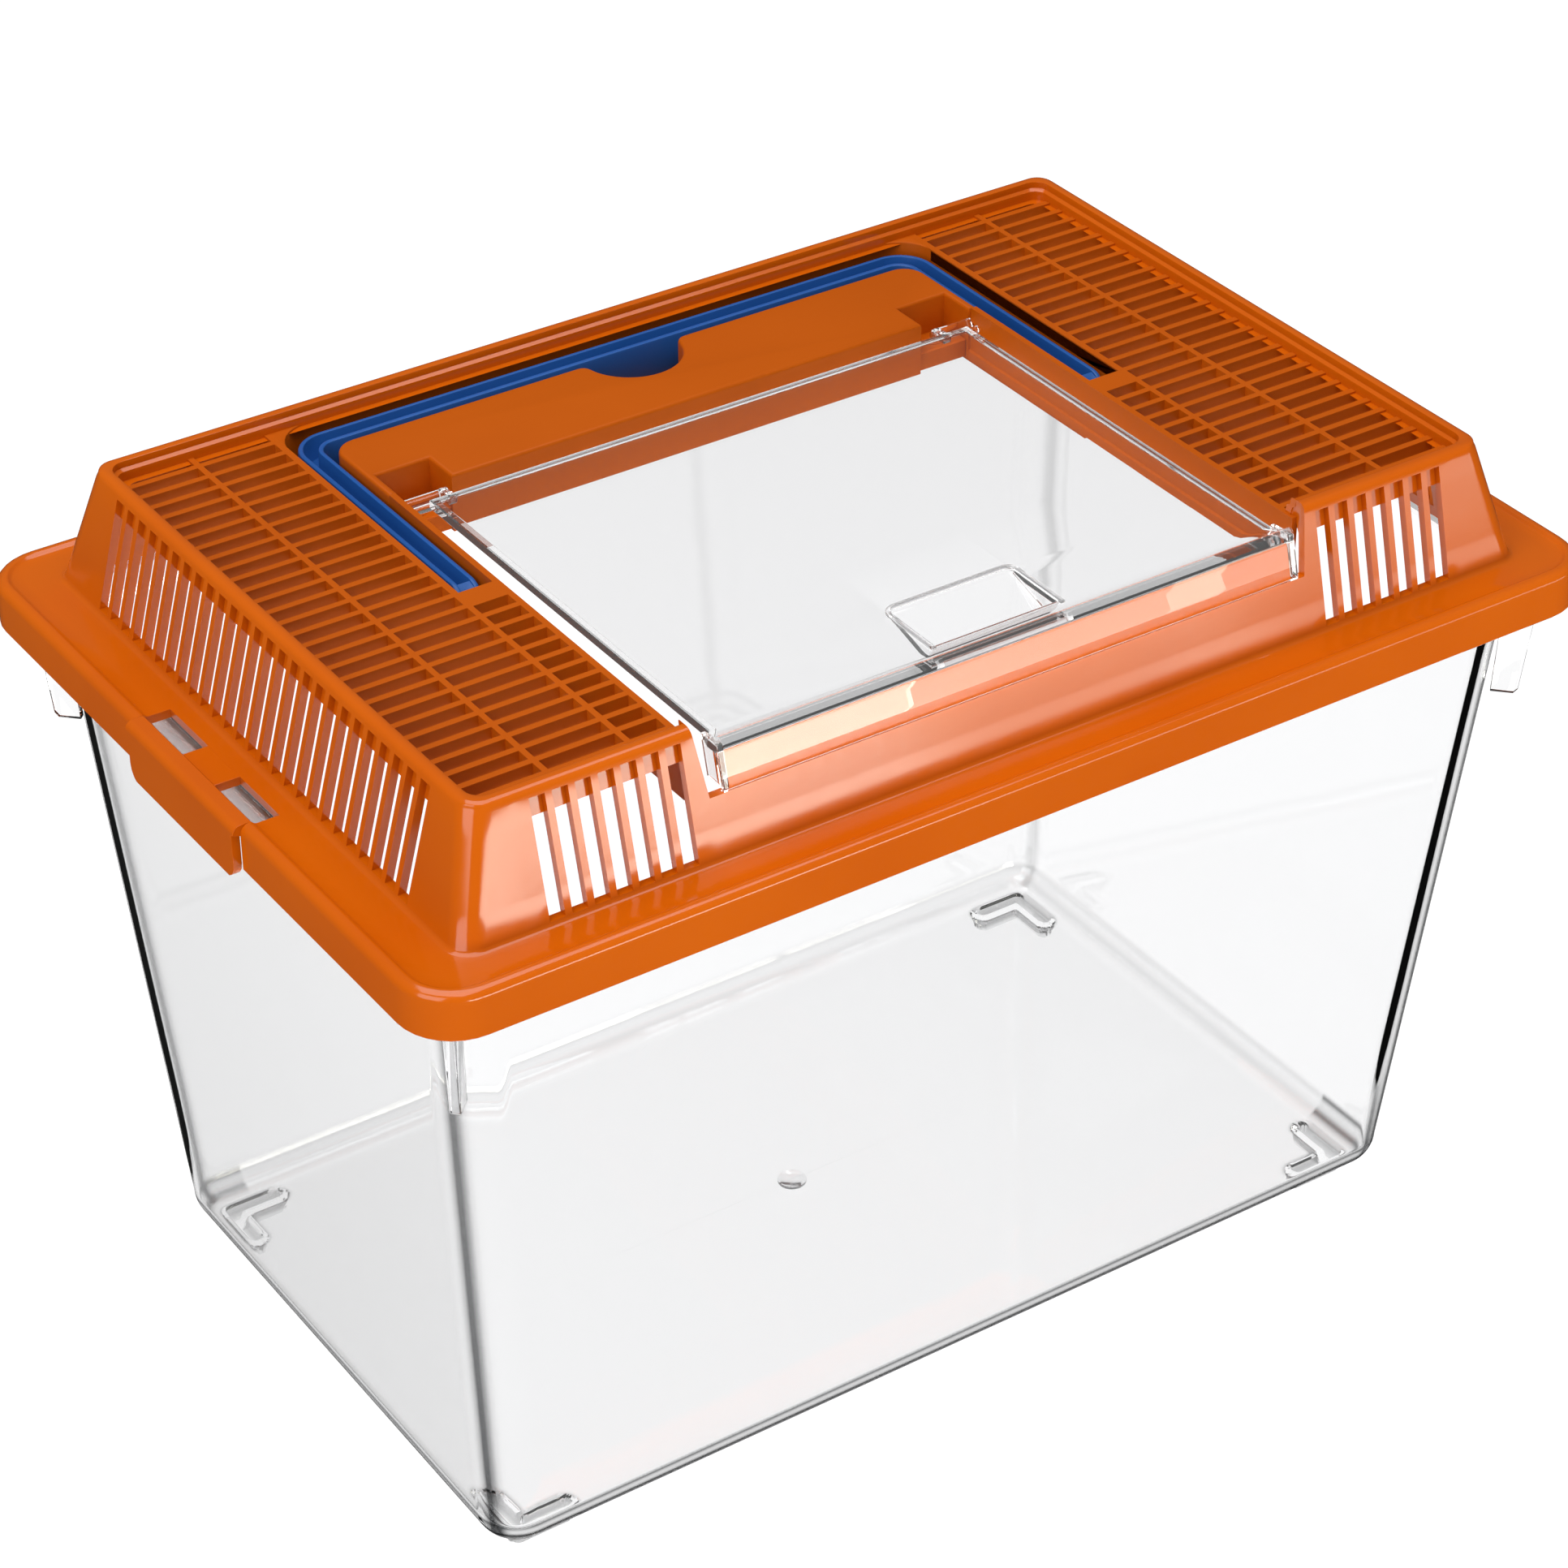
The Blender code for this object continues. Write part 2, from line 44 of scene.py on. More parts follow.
# camera, floor and light, in metres and degrees
studio = {
    "cameraPlace": (-0.46453, -0.68698, 0.67579),
    "cameraTurn": (56.224, 0.027, -33.996),
    "lens": 100.07,
    "floorSize": 5.0,
    "floorGlow": 1.06,
    "floorAlbedo": 0.03,
    "floorInMirror": 0.005,
    "mirrorDepth": 3.5,
    "topLight": 30.0,
    "frontLight": 3.9,
    "frontMiddleLight": 0.42,
    "frontRightLight": 1.35,
    "fillLight": 8.5,
    "skyTop": 0.13,
    "skyEdge": 0.06,
}


def makeCamera():
    data = bpy.data.cameras.new("camera")
    data.lens = studio["lens"]
    data.sensor_width = 36
    data.clip_start = 0.01
    camera = bpy.data.objects.new("camera", data)
    camera.location = studio["cameraPlace"]
    camera.rotation_euler = [math.radians(turn) for turn in studio["cameraTurn"]]
    bpy.context.scene.collection.objects.link(camera)
    bpy.context.scene.camera = camera


def areaLight(name, place, target, size, power, colour):
    data = bpy.data.lights.new(name, "AREA")
    data.shape = "RECTANGLE"
    data.size, data.size_y = size
    data.energy = power
    data.color = colour
    light = bpy.data.objects.new(name, data)
    light.location = place
    light.rotation_euler = (Vector(target) - Vector(place)).to_track_quat("-Z", "Y").to_euler()
    light.visible_camera = False
    bpy.context.scene.collection.objects.link(light)


makeCamera()
bpy.context.scene.view_settings.view_transform = "Standard"
warm = (1, 0.98, 0.86)
lamps = (  # name, place, target, size, colour
    ("topLight", (-0.15, -0.1, 1.7), (0, 0, 0.1), (1.8, 1.8), (1, 1, 1)),
    ("frontLight", (0.12, -1.02, 0.09), (0.12, 0, 0.12), (0.78, 0.17), warm),
    ("frontMiddleLight", (0.6, -1.02, 0.09), (0.55, 0, 0.12), (0.18, 0.17), warm),
    ("frontRightLight", (1.04, -1.0, 0.11), (0.8, 0, 0.14), (0.7, 0.2), warm),
    ("fillLight", (-1.3, -0.5, 0.7), (0, 0, 0.12), (1.0, 0.9), (1, 1, 1)),
)
for name, place, target, size, colour in lamps:
    areaLight(name, place, target, size, studio[name], colour)


# A socket wrapped so that an expression adds the Math nodes that it needs.
class Sock:
    def __init__(self, tree, socket):
        self.tree, self.socket = tree, socket

    def math(self, operation, *values):
        node = self.tree.nodes.new("ShaderNodeMath")
        node.operation = operation
        for index, value in enumerate(values):
            if isinstance(value, Sock):
                self.tree.links.new(value.socket, node.inputs[index])
            else:
                node.inputs[index].default_value = value
        return Sock(self.tree, node.outputs[0])

    def __add__(self, other):
        return self.math("ADD", self, other)

    __radd__ = __add__

    def __mul__(self, other):
        return self.math("MULTIPLY", self, other)

    __rmul__ = __mul__

    def __sub__(self, other):
        return self.math("SUBTRACT", self, other)

    def __rsub__(self, other):
        return self.math("SUBTRACT", other, self)

    def __gt__(self, other):
        return self.math("GREATER_THAN", self, other)


# A material and one method for any node that is not maths.
class Shader:
    def __init__(self, name):
        self.material = bpy.data.materials.new(name)
        self.material.use_nodes = True
        self.tree = self.material.node_tree
        self.surface = self.tree.nodes["Principled BSDF"]
        self.output = self.tree.nodes["Material Output"]

    def node(self, kind, settings=None, values=None, output=0):
        made = self.tree.nodes.new(kind)
        for key, value in (settings or {}).items():
            if key == "stops":
                ramp = made.color_ramp
                while len(ramp.elements) < len(value):
                    ramp.elements.new(1.0)
                for element, (place, colour) in zip(ramp.elements, value):
                    element.position = place
                    element.color = colour
            else:
                setattr(made, key, value)
        for key, value in (values or {}).items():
            self.put(made.inputs[key], value)
        return Sock(self.tree, made.outputs[output])

    def put(self, socket, value):
        if isinstance(value, Sock):
            self.tree.links.new(value.socket, socket)
        else:
            socket.default_value = value

    def set(self, **values):
        for key, value in values.items():
            self.put(self.surface.inputs[key.replace("_", " ")], value)


def objectPlace(shader):
    return shader.node("ShaderNodeTexCoord", output="Object")


# Colour = a ramp from deep to light over cloud noise, 18 to the metre, between 0.35 and 0.65. Roughness =
# roughness - 0.04 + 0.08 x speck noise, 420 to the metre. Bump = the same specks, 0.2 mm x grain.
def mouldedPlastic(name, light, deep, roughness, grain, shine):
    shader = Shader(name)
    place = objectPlace(shader)
    clouds = shader.node(
        "ShaderNodeTexNoise", values={"Vector": place, "Scale": 18.0, "Detail": 3.0, "Roughness": 0.5}
    )
    specks = shader.node(
        "ShaderNodeTexNoise", values={"Vector": place, "Scale": 420.0, "Detail": 2.0, "Roughness": 0.6}
    )
    colour = shader.node(
        "ShaderNodeValToRGB", {"stops": [(0.35, (*deep, 1)), (0.65, (*light, 1))]}, {"Fac": clouds}
    )
    bump = shader.node("ShaderNodeBump", values={"Height": specks, "Strength": grain, "Distance": 0.0002})
    shader.set(Base_Color=colour, Roughness=specks * 0.08 + (roughness - 0.04), Normal=bump)
    shader.set(IOR=1.5, Specular_IOR_Level=shine)
    return shader.material


# Clear styrene that refracts. Bump = ripple noise, 14 to the metre, 2 mm x 0.06. Colour = tint, or a ramp
# from tint to bend over the mesh's bend value, which is painted shade: dark lines along the folds. Straight
# share = 1 - (1 - lamp ray) x (1 - ray depth over caughtDepth) x (1 - half where the height in metres is
# over hidden).
def clearPlastic(name, tint, caughtDepth, hidden, bend=None):
    shader = Shader(name)
    place = objectPlace(shader)
    ripples = shader.node(
        "ShaderNodeTexNoise", values={"Vector": place, "Scale": 14.0, "Detail": 2.0, "Roughness": 0.5}
    )
    bump = shader.node("ShaderNodeBump", values={"Height": ripples, "Strength": 0.06, "Distance": 0.002})
    colour = (*tint, 1)
    if bend:
        # The bend value is painted shade: it darkens the tank towards the bend colour along its folds.
        thicknessAndFoldShade = shader.node("ShaderNodeAttribute", {"attribute_name": "bend"}, output="Fac")
        stops = [(0.0, (*tint, 1)), (1.0, (*bend, 1))]
        colour = shader.node("ShaderNodeValToRGB", {"stops": stops}, {"Fac": thicknessAndFoldShade})
    shader.set(Base_Color=colour, Roughness=0.0, IOR=1.57, Normal=bump)
    shader.surface.inputs["Transmission Weight"].default_value = 1.0
    lamp = shader.node("ShaderNodeLightPath", output="Is Shadow Ray")
    caught = shader.node("ShaderNodeLightPath", output="Ray Depth") > caughtDepth
    height = shader.node("ShaderNodeSeparateXYZ", values={0: place}, output="Z")
    straight = (height > hidden) * 0.5
    share = 1 - (1 - lamp) * (1 - caught) * (1 - straight)
    passing = shader.node("ShaderNodeBsdfTransparent", values={"Color": (0.97, 0.97, 0.97, 1)})
    surface = Sock(shader.tree, shader.surface.outputs[0])
    mixed = shader.node("ShaderNodeMixShader", values={0: share, 1: surface, 2: passing})
    shader.tree.links.new(mixed.socket, shader.output.inputs["Surface"])
    return shader.material


orangeLook = {"light": (0.60, 0.113, 0.002), "deep": (0.56, 0.098, 0.0015), "roughness": 0.13}
satinLook = {"light": (0.50, 0.092, 0.002), "deep": (0.47, 0.084, 0.0015), "roughness": 0.45}
blueLook = {"light": (0.018, 0.10, 0.36), "deep": (0.013, 0.085, 0.32), "roughness": 0.36}
# The tank's bend colour is the near-black of its painted shade along the folds.
tankLook = {"tint": (0.985, 0.986, 0.99), "caughtDepth": 9.5, "bend": (0.008, 0.009, 0.01), "hidden": 0.1735}
hatchLook = {"tint": (0.945, 0.943, 0.947), "caughtDepth": 3.5, "hidden": 0.2034}
orange = mouldedPlastic("orangePlastic", grain=0.03, shine=0.5, **orangeLook)
satinOrange = mouldedPlastic("satinOrangePlastic", grain=0.1, shine=0.12, **satinLook)
blue = mouldedPlastic("bluePlastic", grain=0.08, shine=0.3, **blueLook)
tankClear = clearPlastic("tankClearPlastic", **tankLook)
hatchClear = clearPlastic("hatchClearPlastic", **hatchLook)


# A pale floor that glows like a light table. Emission = floorGlow, or floorInMirror for a glossy ray that
# has not gone through plastic and has turned at most mirrorDepth times.
def makeFloor():
    shader = Shader("paleFloor")
    glow = studio["floorGlow"]
    shader.set(Base_Color=(*[studio["floorAlbedo"]] * 3, 1), Roughness=0.9, Emission_Strength=1.0)
    through = shader.node("ShaderNodeLightPath", output="Is Transmission Ray")
    deep = shader.node("ShaderNodeLightPath", output="Ray Depth") > studio["mirrorDepth"]
    mirrored = shader.node("ShaderNodeLightPath", output="Is Glossy Ray") * (1 - through) * (1 - deep)
    shader.set(Emission_Color=glow - mirrored * (glow - studio["floorInMirror"]))
    shader.surface.inputs["Specular IOR Level"].default_value = 0.0
    shader.material.cycles.emission_sampling = "NONE"
    half = studio["floorSize"] / 2
    mesh = bpy.data.meshes.new("floor")
    corners = [(-half, -half, 0), (half, -half, 0), (half, half, 0), (-half, half, 0)]
    mesh.from_pydata(corners, [], [(0, 1, 2, 3)])
    floor = bpy.data.objects.new("floor", mesh)
    floor.data.materials.append(shader.material)
    bpy.context.scene.collection.objects.link(floor)


# Dark at the horizon and bright overhead, so that clear edges pick up dark lines.
def makeWorld():
    world = bpy.data.worlds.new("studio")
    world.use_nodes = True
    tree = world.node_tree
    background = tree.nodes["Background"]
    coordinate = tree.nodes.new("ShaderNodeTexCoord")
    split = tree.nodes.new("ShaderNodeSeparateXYZ")
    ramp = tree.nodes.new("ShaderNodeValToRGB")
    ramp.color_ramp.elements[0].position = 0.05
    ramp.color_ramp.elements[0].color = (*[studio["skyEdge"]] * 3, 1)
    ramp.color_ramp.elements[1].position = 0.75
    ramp.color_ramp.elements[1].color = (*[studio["skyTop"]] * 3, 1)
    tree.links.new(coordinate.outputs["Generated"], split.inputs[0])
    tree.links.new(split.outputs["Z"], ramp.inputs[0])
    tree.links.new(ramp.outputs[0], background.inputs["Color"])
    bpy.context.scene.world = world


makeFloor()
makeWorld()
print("studio ready")


# Welds points that coincide, drops collapsed faces, and puts the piece on its body. Points are in
# millimetres; caps are outlines of flat ends, as lists of point numbers.
def finish(name, points, faces, material, body, caps=(), bevel=0.0, sharp=35.0, bend=None):
    points = np.asarray(points, float)
    quads = np.asarray(faces, np.int64)
    keys = np.round(points / 0.002).astype(np.int64)
    _, first, index = np.unique(keys, axis=0, return_index=True, return_inverse=True)
    index = index.reshape(-1)
    points, quads = points[first], index[quads]
    distinct = quads != np.roll(quads, -1, axis=1)
    three = distinct.sum(axis=1) == 3
    faceList = quads[distinct.all(axis=1)].tolist()
    faceList += quads[three][distinct[three]].reshape(-1, 3).tolist()
    for cap in caps:
        ring = index[np.asarray(cap)]
        faceList.append(ring[ring != np.roll(ring, -1)].tolist())
    used = np.unique(np.concatenate([np.ravel(face) for face in faceList]))
    lookup = np.zeros(len(points), np.int64)
    lookup[used] = np.arange(len(used))
    mesh = bpy.data.meshes.new(name)
    mesh.from_pydata((points[used] * mm).tolist(), [], [lookup[face].tolist() for face in faceList])
    # bend is painted shade, one value for each point, kept as the mesh's bend attribute.
    if bend is not None:
        mesh.attributes.new("bend", "FLOAT", "POINT").data.foreach_set("value", np.ravel(bend)[first][used])
    mesh.validate()
    mesh.shade_smooth()
    mesh.set_sharp_from_angle(angle=math.radians(sharp))
    piece = bpy.data.objects.new(name, mesh)
    mesh.materials.append(material)
    bpy.context.scene.collection.objects.link(piece)
    if bevel:
        rounded = piece.modifiers.new("edges", "BEVEL")
        rounded.width = bevel * mm
        rounded.segments = 2
        rounded.limit_method = "ANGLE"
        rounded.angle_limit = math.radians(40)
        rounded.harden_normals = True
    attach(piece, body)
    return piece


# The quads of a grid of points, countU by countV, that begin at index start.
def gridFaces(countU, countV, start=0, closedU=False, flip=False):
    i, j = np.meshgrid(np.arange(countU if closedU else countU - 1), np.arange(countV - 1), indexing="ij")
    a = i * countV + j
    b = ((i + 1) % countU) * countV + j
    faces = np.stack([a, b, b + 1, a + 1], axis=-1).reshape(-1, 4) + start
    return faces[:, ::-1] if flip else faces


# A plate with holes and pockets. layers run from the outside in. level says at which layer each cell's
# face lies, and the last layer means a hole. Walls join cells whose levels differ.
def sheet(layers, level, closedU=False):
    countU, countV = layers[0].shape[:2]
    last = len(layers) - 1
    points = np.concatenate([layer.reshape(-1, 3) for layer in layers])
    size = countU * countV
    level = np.asarray(level)
    faces = []

    def at(i, j, k):
        return k * size + (i % countU) * countV + j

    for k in range(last):
        i, j = np.nonzero(level == k)
        faces.append(np.stack([at(i, j, k), at(i + 1, j, k), at(i + 1, j + 1, k), at(i, j + 1, k)], -1))
    i, j = np.nonzero(level < last)
    under = [at(i, j, last), at(i, j + 1, last), at(i + 1, j + 1, last), at(i + 1, j, last)]
    faces.append(np.stack(under, -1))
    if closedU:
        before = np.roll(level, 1, axis=0)
        after = level
    else:
        edge = np.full((1, countV - 1), last)
        before = np.concatenate([edge, level])
        after = np.concatenate([level, edge])
    side = np.full((level.shape[0], 1), last)
    below = np.concatenate([side, level], 1)
    above = np.concatenate([level, side], 1)
    for k in range(last):
        i, j = np.nonzero((before <= k) & (after > k))
        faces.append(np.stack([at(i, j, k), at(i, j, k + 1), at(i, j + 1, k + 1), at(i, j + 1, k)], -1))
        i, j = np.nonzero((after <= k) & (before > k))
        faces.append(np.stack([at(i, j + 1, k), at(i, j + 1, k + 1), at(i, j, k + 1), at(i, j, k)], -1))
        i, j = np.nonzero((below <= k) & (above > k))
        faces.append(np.stack([at(i, j, k), at(i + 1, j, k), at(i + 1, j, k + 1), at(i, j, k + 1)], -1))
        i, j = np.nonzero((above <= k) & (below > k))
        faces.append(np.stack([at(i, j, k + 1), at(i + 1, j, k + 1), at(i + 1, j, k), at(i, j, k)], -1))
    return points, np.concatenate(faces)


# A closed outline, counterclockwise, carried through rows of (inset, height) and capped at both ends.
# order turns the result so that its height runs along another axis. A strip is an outline whose second
# half runs back beside its first, and its caps are filled from side to side.
def prism(outline, rows, order=(0, 1, 2), strip=False):
    outline, rows = np.asarray(outline, float), np.asarray(rows, float)
    edge = np.roll(outline, -1, axis=0) - outline
    normal = np.stack([edge[:, 1], -edge[:, 0]], -1) / np.hypot(edge[:, 0], edge[:, 1])[:, None]
    before = np.roll(normal, 1, axis=0)
    mitre = (normal + before) / (1 + (normal * before).sum(1))[:, None]
    plan = outline[:, None, :] - rows[None, :, :1] * mitre[:, None, :]
    height = np.broadcast_to(rows[None, :, 1:], (len(outline), len(rows), 1))
    grid = np.concatenate([plan, height], -1)[..., list(order)]
    faces = gridFaces(len(outline), len(rows), closedU=True)
    ring = np.arange(len(outline)) * len(rows)
    if not strip:
        return grid.reshape(-1, 3), faces, [ring[::-1], ring + len(rows) - 1]
    near, far = ring[: len(ring) // 2], ring[: len(ring) // 2 - 1 : -1]
    low = np.stack([near[1:], near[:-1], far[:-1], far[1:]], -1)
    return grid.reshape(-1, 3), np.concatenate([faces, low, low[:, ::-1] + len(rows) - 1]), []


# A U seen from above and open towards -Y, as a strip: its outside from the right leg to the left, then
# back along its inside. ends are the places along each leg.
def bow(outX, inX, barY, rearY, outRound, inRound, ends, steps=10):
    ends = np.asarray(ends, float)

    def side(x, y, r, sign):
        leg = np.full(len(ends), sign * x)
        corners = [arc(sign * (x - r), y - r, r, *((0, 90) if sign > 0 else (180, 90)), steps)]
        corners.append(arc(-sign * (x - r), y - r, r, *((90, 180) if sign > 0 else (90, 0)), steps))
        return np.concatenate([np.column_stack([leg, ends]), *corners, np.column_stack([-leg, ends[::-1]])])

    return np.concatenate([side(outX, rearY, outRound, 1), side(inX, barY, inRound, -1)])


alongX = (2, 0, 1)


# Several (points, faces, caps) shapes in one mesh.
def joined(*shapes):
    points, faces, caps, start = [], [], [], 0
    for shape in shapes:
        points.append(shape[0])
        faces.append(shape[1] + start)
        caps += [np.asarray(cap) + start for cap in (shape[2] if len(shape) > 2 else ())]
        start += len(shape[0])
    return np.concatenate(points), np.concatenate(faces), caps


# The outline of a rectangle with round corners, counterclockwise.
def roundedBox(low, high, radius, steps=3):
    (a, b), (c, d) = low, high
    corners = (
        (c - radius, b + radius, -90),
        (c - radius, d - radius, 0),
        (a + radius, d - radius, 90),
        (a + radius, b + radius, 180),
    )
    return np.concatenate([arc(x, y, radius, turn, turn + 90, steps) for x, y, turn in corners])


# Stations round a rounded rectangle, counterclockwise from above, beginning at the right side; one column
# for each profile row. Straight runs keep the given places; corners are arcs of the row's radius.
def ringPath(sideY, frontX, halfX, halfY, radius, steps=8):
    halfX, halfY, radius = (np.asarray(value, float)[None, :] for value in (halfX, halfY, radius))
    sideY, frontX = (run if run.ndim == 2 else run[:, None] + 0 * halfX for run in (sideY, frontX))
    angles = np.linspace(0, np.pi / 2, steps + 1)[:, None]
    runs = (
        (halfX + 0 * sideY, sideY),
        (-frontX, halfY + 0 * frontX),
        (-halfX + 0 * sideY, -sideY),
        (frontX, -halfY + 0 * frontX),
    )
    stations = []
    for turn, run in enumerate(runs):
        stations.append(np.stack(run, -1))
        signX, signY = (1, -1, -1, 1)[turn], (1, 1, -1, -1)[turn]
        around = angles + turn * np.pi / 2
        x = signX * (halfX - radius) + radius * np.cos(around)
        y = signY * (halfY - radius) + radius * np.sin(around)
        stations.append(np.stack([x, y], -1))
    return np.concatenate(stations)


# The outline of a bar's round section.
def roundOutline(centreA, centreB, radius, steps=6):
    low = (centreA - radius, centreB - radius)
    high = (centreA + radius, centreB + radius)
    return roundedBox(low, high, radius - 0.01, steps)


# Prism rows from start to stop with a small bevel at both ends.
def bevelled(start, stop, inset, height):
    return [(inset, start), (0, start + height), (0, stop - height), (inset, stop)]


# The sorted grid lines of several lists, without repeats.
def lines(*values):
    return np.unique(np.round(np.concatenate([np.atleast_1d(value) for value in values]), 3))


# (a, b) points on a round, angles in degrees.
def arc(centreA, centreB, radius, start, end, steps):
    angle = np.radians(np.linspace(start, end, steps + 1))
    return np.stack([centreA + radius * np.cos(angle), centreB + radius * np.sin(angle)], -1)


# lid: flange, skirt and crown, in millimetres
lid = {
    "flangeX": 150.0,
    "flangeY": 99.6,
    "flangeRadius": 13.0,
    "skirtLow": 169.2,
    "flangeTop": 180.4,
    "edgeRound": 2.2,
    "dish": 179.6,
    "dishEdgeX": 146.2,
    "flangeRows": 12,
    "dishRows": 14,
    "under": 177.6,
    "wall": 2.0,
    "crownX": 136.15,
    "crownY": 87.9,
    "crownTop": 208.1,
    "crownLean": 7.45,
    "crownRadius": 5.5,
    "leanEndX": 128.0,
    "lipX": 125.0,
    "plateLow": 201.3,
    "plateTop": 204.2,
    "pitch": 5.207,
    "gap": 3.6,
    "sideVents": 26,
    "frontVents": 7,
    "frontVentStart": 82.6,
    "ventLow": 180.6,
    "ventTop": 206.0,
    "pocket": 1.7,
    "slotIn": 141.0,
    "tabHalf": 23.9,
    "hatchSlotIn": 71.9,
    "hatchSlotOut": 76.2,
    "hatchSlotLow": 193.0,
}


def crownHalfX(z):
    return lid["crownX"] - lid["crownLean"] * (z - lid["dish"]) / (lid["crownTop"] - lid["dish"])


# A profile carried round a rounded rectangle: skirt, rounded flange edge, dish, leaning crown wall, lip.
# Each profile row has a half size outside and inside, and a height outside and inside.
def makeLidShell():
    d = lid
    under, wall = d["under"], d["wall"]
    rows = []  # outside x, outside z, inside x, inside z
    out = d["flangeX"]
    rows.append((out - 0.5, d["skirtLow"], out - 1.5, d["skirtLow"]))
    rows.append((out, d["skirtLow"] + 0.5, out - wall, d["skirtLow"] + 0.5))
    for x, z in arc(out - d["edgeRound"], d["flangeTop"] - d["edgeRound"], d["edgeRound"], 0, 90, 6):
        rows.append((x, z, min(x, out - wall) - 0.02, under - 0.5 if x > out - 1.2 else under))
    edgeX = d["dishEdgeX"]
    dishEdge = [(147.45, 180.38), (147.15, 180.2), (146.75, 179.82), (edgeX, 179.62)]
    rows += [(x, z, x - 0.1, under) for x, z in dishEdge]
    rows += [(x, d["dish"], x - 0.1, under) for x in (143.5, d["slotIn"], 138.8)]
    base = d["crownX"]
    fillet = [(base + 1.1, d["dish"]), (base + 0.5, d["dish"] + 0.12), (base + 0.05, d["dish"] + 0.5)]
    rows += [(x, z, x - wall - 0.2, under + 0.3 * n) for n, (x, z) in enumerate(fillet)]
    for z in (d["ventLow"], 187.0, d["hatchSlotLow"], 197.2, d["plateLow"], d["ventTop"]):
        x = crownHalfX(z)
        inside = (x - wall, z) if z <= d["plateLow"] else (127.0, 202.4)
        rows.append((x, z, *inside))
    slope = math.degrees(math.atan2(d["crownLean"], d["crownTop"] - d["dish"]))
    topRound = arc(crownHalfX(d["crownTop"]) - 1.62, d["crownTop"] - 2.0, 2.0, slope, 90, 6)
    ledge = [(126.5, 208.1), (126.05, 207.9), (125.95, 207.5)]
    ledge += [(125.9, 206.4), (125.5, 206.15), (125.1, 205.9)]
    upper = [*topRound.tolist(), *ledge, (d["lipX"], 205.4), (d["lipX"] - 0.02, 203.7)]
    for n, (x, z) in enumerate(upper):
        rows.append((x, z, 126.9 - 0.12 * n, 202.5 + 0.06 * n))
    rows = np.array(rows)
    outX, outZ, inX, inZ = rows.T
    count = len(rows)
    crownRows = outZ > d["dish"] + 0.3
    crownRows[: d["flangeRows"]] = False  # the flange's edge is higher than the dish too
    # narrow is how much less the half size is along Y than along X
    flangeNarrow, crownNarrow = d["flangeX"] - d["flangeY"], base - d["crownY"]
    blend = np.clip((edgeX - outX) / (edgeX - base - 0.5), 0, 1)
    onCrown = crownNarrow - 0.15 * (outZ - d["dish"]) / (d["crownTop"] - d["dish"])
    narrow = np.where(crownRows, onCrown, flangeNarrow - blend * (flangeNarrow - crownNarrow))
    radius = np.where(outX > edgeX, outX - d["flangeX"] + d["flangeRadius"], 9.2 - blend * 3.2)
    radius = np.where(crownRows, d["crownRadius"] - 2.2 * np.clip((outZ - 207) / 1.1, 0, 1), radius)
    radius[-8:] = np.linspace(4.0, 2.6, 8)  # the lip's inner edge
    radius = np.maximum(radius, 2.2)

    ventY = (np.arange(d["sideVents"]) - (d["sideVents"] - 1) / 2) * d["pitch"]
    sideY = lines(ventY - d["gap"] / 2, ventY + d["gap"] / 2, [-7, 7, -d["tabHalf"], d["tabHalf"]])
    sideY = sideY[np.concatenate([[True], np.diff(sideY) > 0.15])]
    frontVents = d["frontVentStart"] + d["pitch"] * np.arange(d["frontVents"])
    hatchSlot = [d["hatchSlotIn"], d["hatchSlotOut"]]
    half = np.concatenate([frontVents - d["gap"] / 2, frontVents + d["gap"] / 2, hatchSlot])
    frontX = lines(half, -half, [-119, 119, -36, 0, 36])
    afterDish = np.arange(count) > d["dishRows"]
    lean = np.clip((outZ - d["hatchSlotLow"]) / 15, 0, 1) * 1.9 * afterDish

    def layer(x, z):
        path = ringPath(sideY, frontX, x, x - narrow, radius)
        return np.concatenate([path, np.repeat(z[None, :, None], len(path), 0)], -1)

    middleX = np.where(crownRows, outX - d["pocket"], (outX + inX) / 2)
    middleZ = np.where(crownRows, outZ, (outZ + inZ) / 2)
    outer, middle, inner = layer(outX, outZ), layer(middleX, middleZ), layer(inX, inZ)
    corner = 9  # stations in each corner
    leftStart = len(sideY) + len(frontX) + 2 * corner
    frontStart = leftStart + len(sideY) + corner
    for sign in (-1, 1):
        column = frontStart + int(np.argmin(abs(frontX - sign * d["hatchSlotOut"])))
        for surface in (outer, inner, middle):
            surface[column, :, 0] += sign * lean
    level = np.zeros((len(outer), count - 1), int)
    centre = (outer[:, 0] + np.roll(outer, -1, axis=0)[:, 0]) / 2
    rowZ = (outZ[:-1] + outZ[1:]) / 2
    index = np.arange(len(outer))
    sides = (index < len(sideY) - 1) | ((index >= leftStart) & (index < leftStart + len(sideY) - 1))
    front = (index >= frontStart) & (index < frontStart + len(frontX) - 1)
    isSideVent = sides & (abs(centre[:, 1][:, None] - ventY[None, :]).min(1) < 0.9 * d["gap"] / 2)
    isFrontVent = front & (abs(abs(centre[:, 0])[:, None] - frontVents[None, :]).min(1) < 0.9)
    wallRow = afterDish[:-1] & (outX[:-1] > d["leanEndX"])
    through = wallRow & (rowZ > d["ventLow"]) & (rowZ < d["plateLow"])
    pocket = wallRow & (rowZ > d["plateLow"]) & (rowZ < d["ventTop"])
    vents = isSideVent | isFrontVent
    level[np.ix_(vents, through)] = 2
    level[np.ix_(vents, pocket)] = 1
    tabs = sides & (abs(centre[:, 1]) < d["tabHalf"])
    level[np.ix_(tabs, outX[:-1] > d["slotIn"] + 0.1)] = 2
    low = front & (abs(centre[:, 0]) < d["hatchSlotIn"])
    slots = front & (abs(centre[:, 0]) > d["hatchSlotIn"]) & (abs(centre[:, 0]) < d["hatchSlotOut"] + 0.5)
    above = np.arange(count - 1) >= np.argmax((outZ >= d["plateLow"] - 0.01) & afterDish)
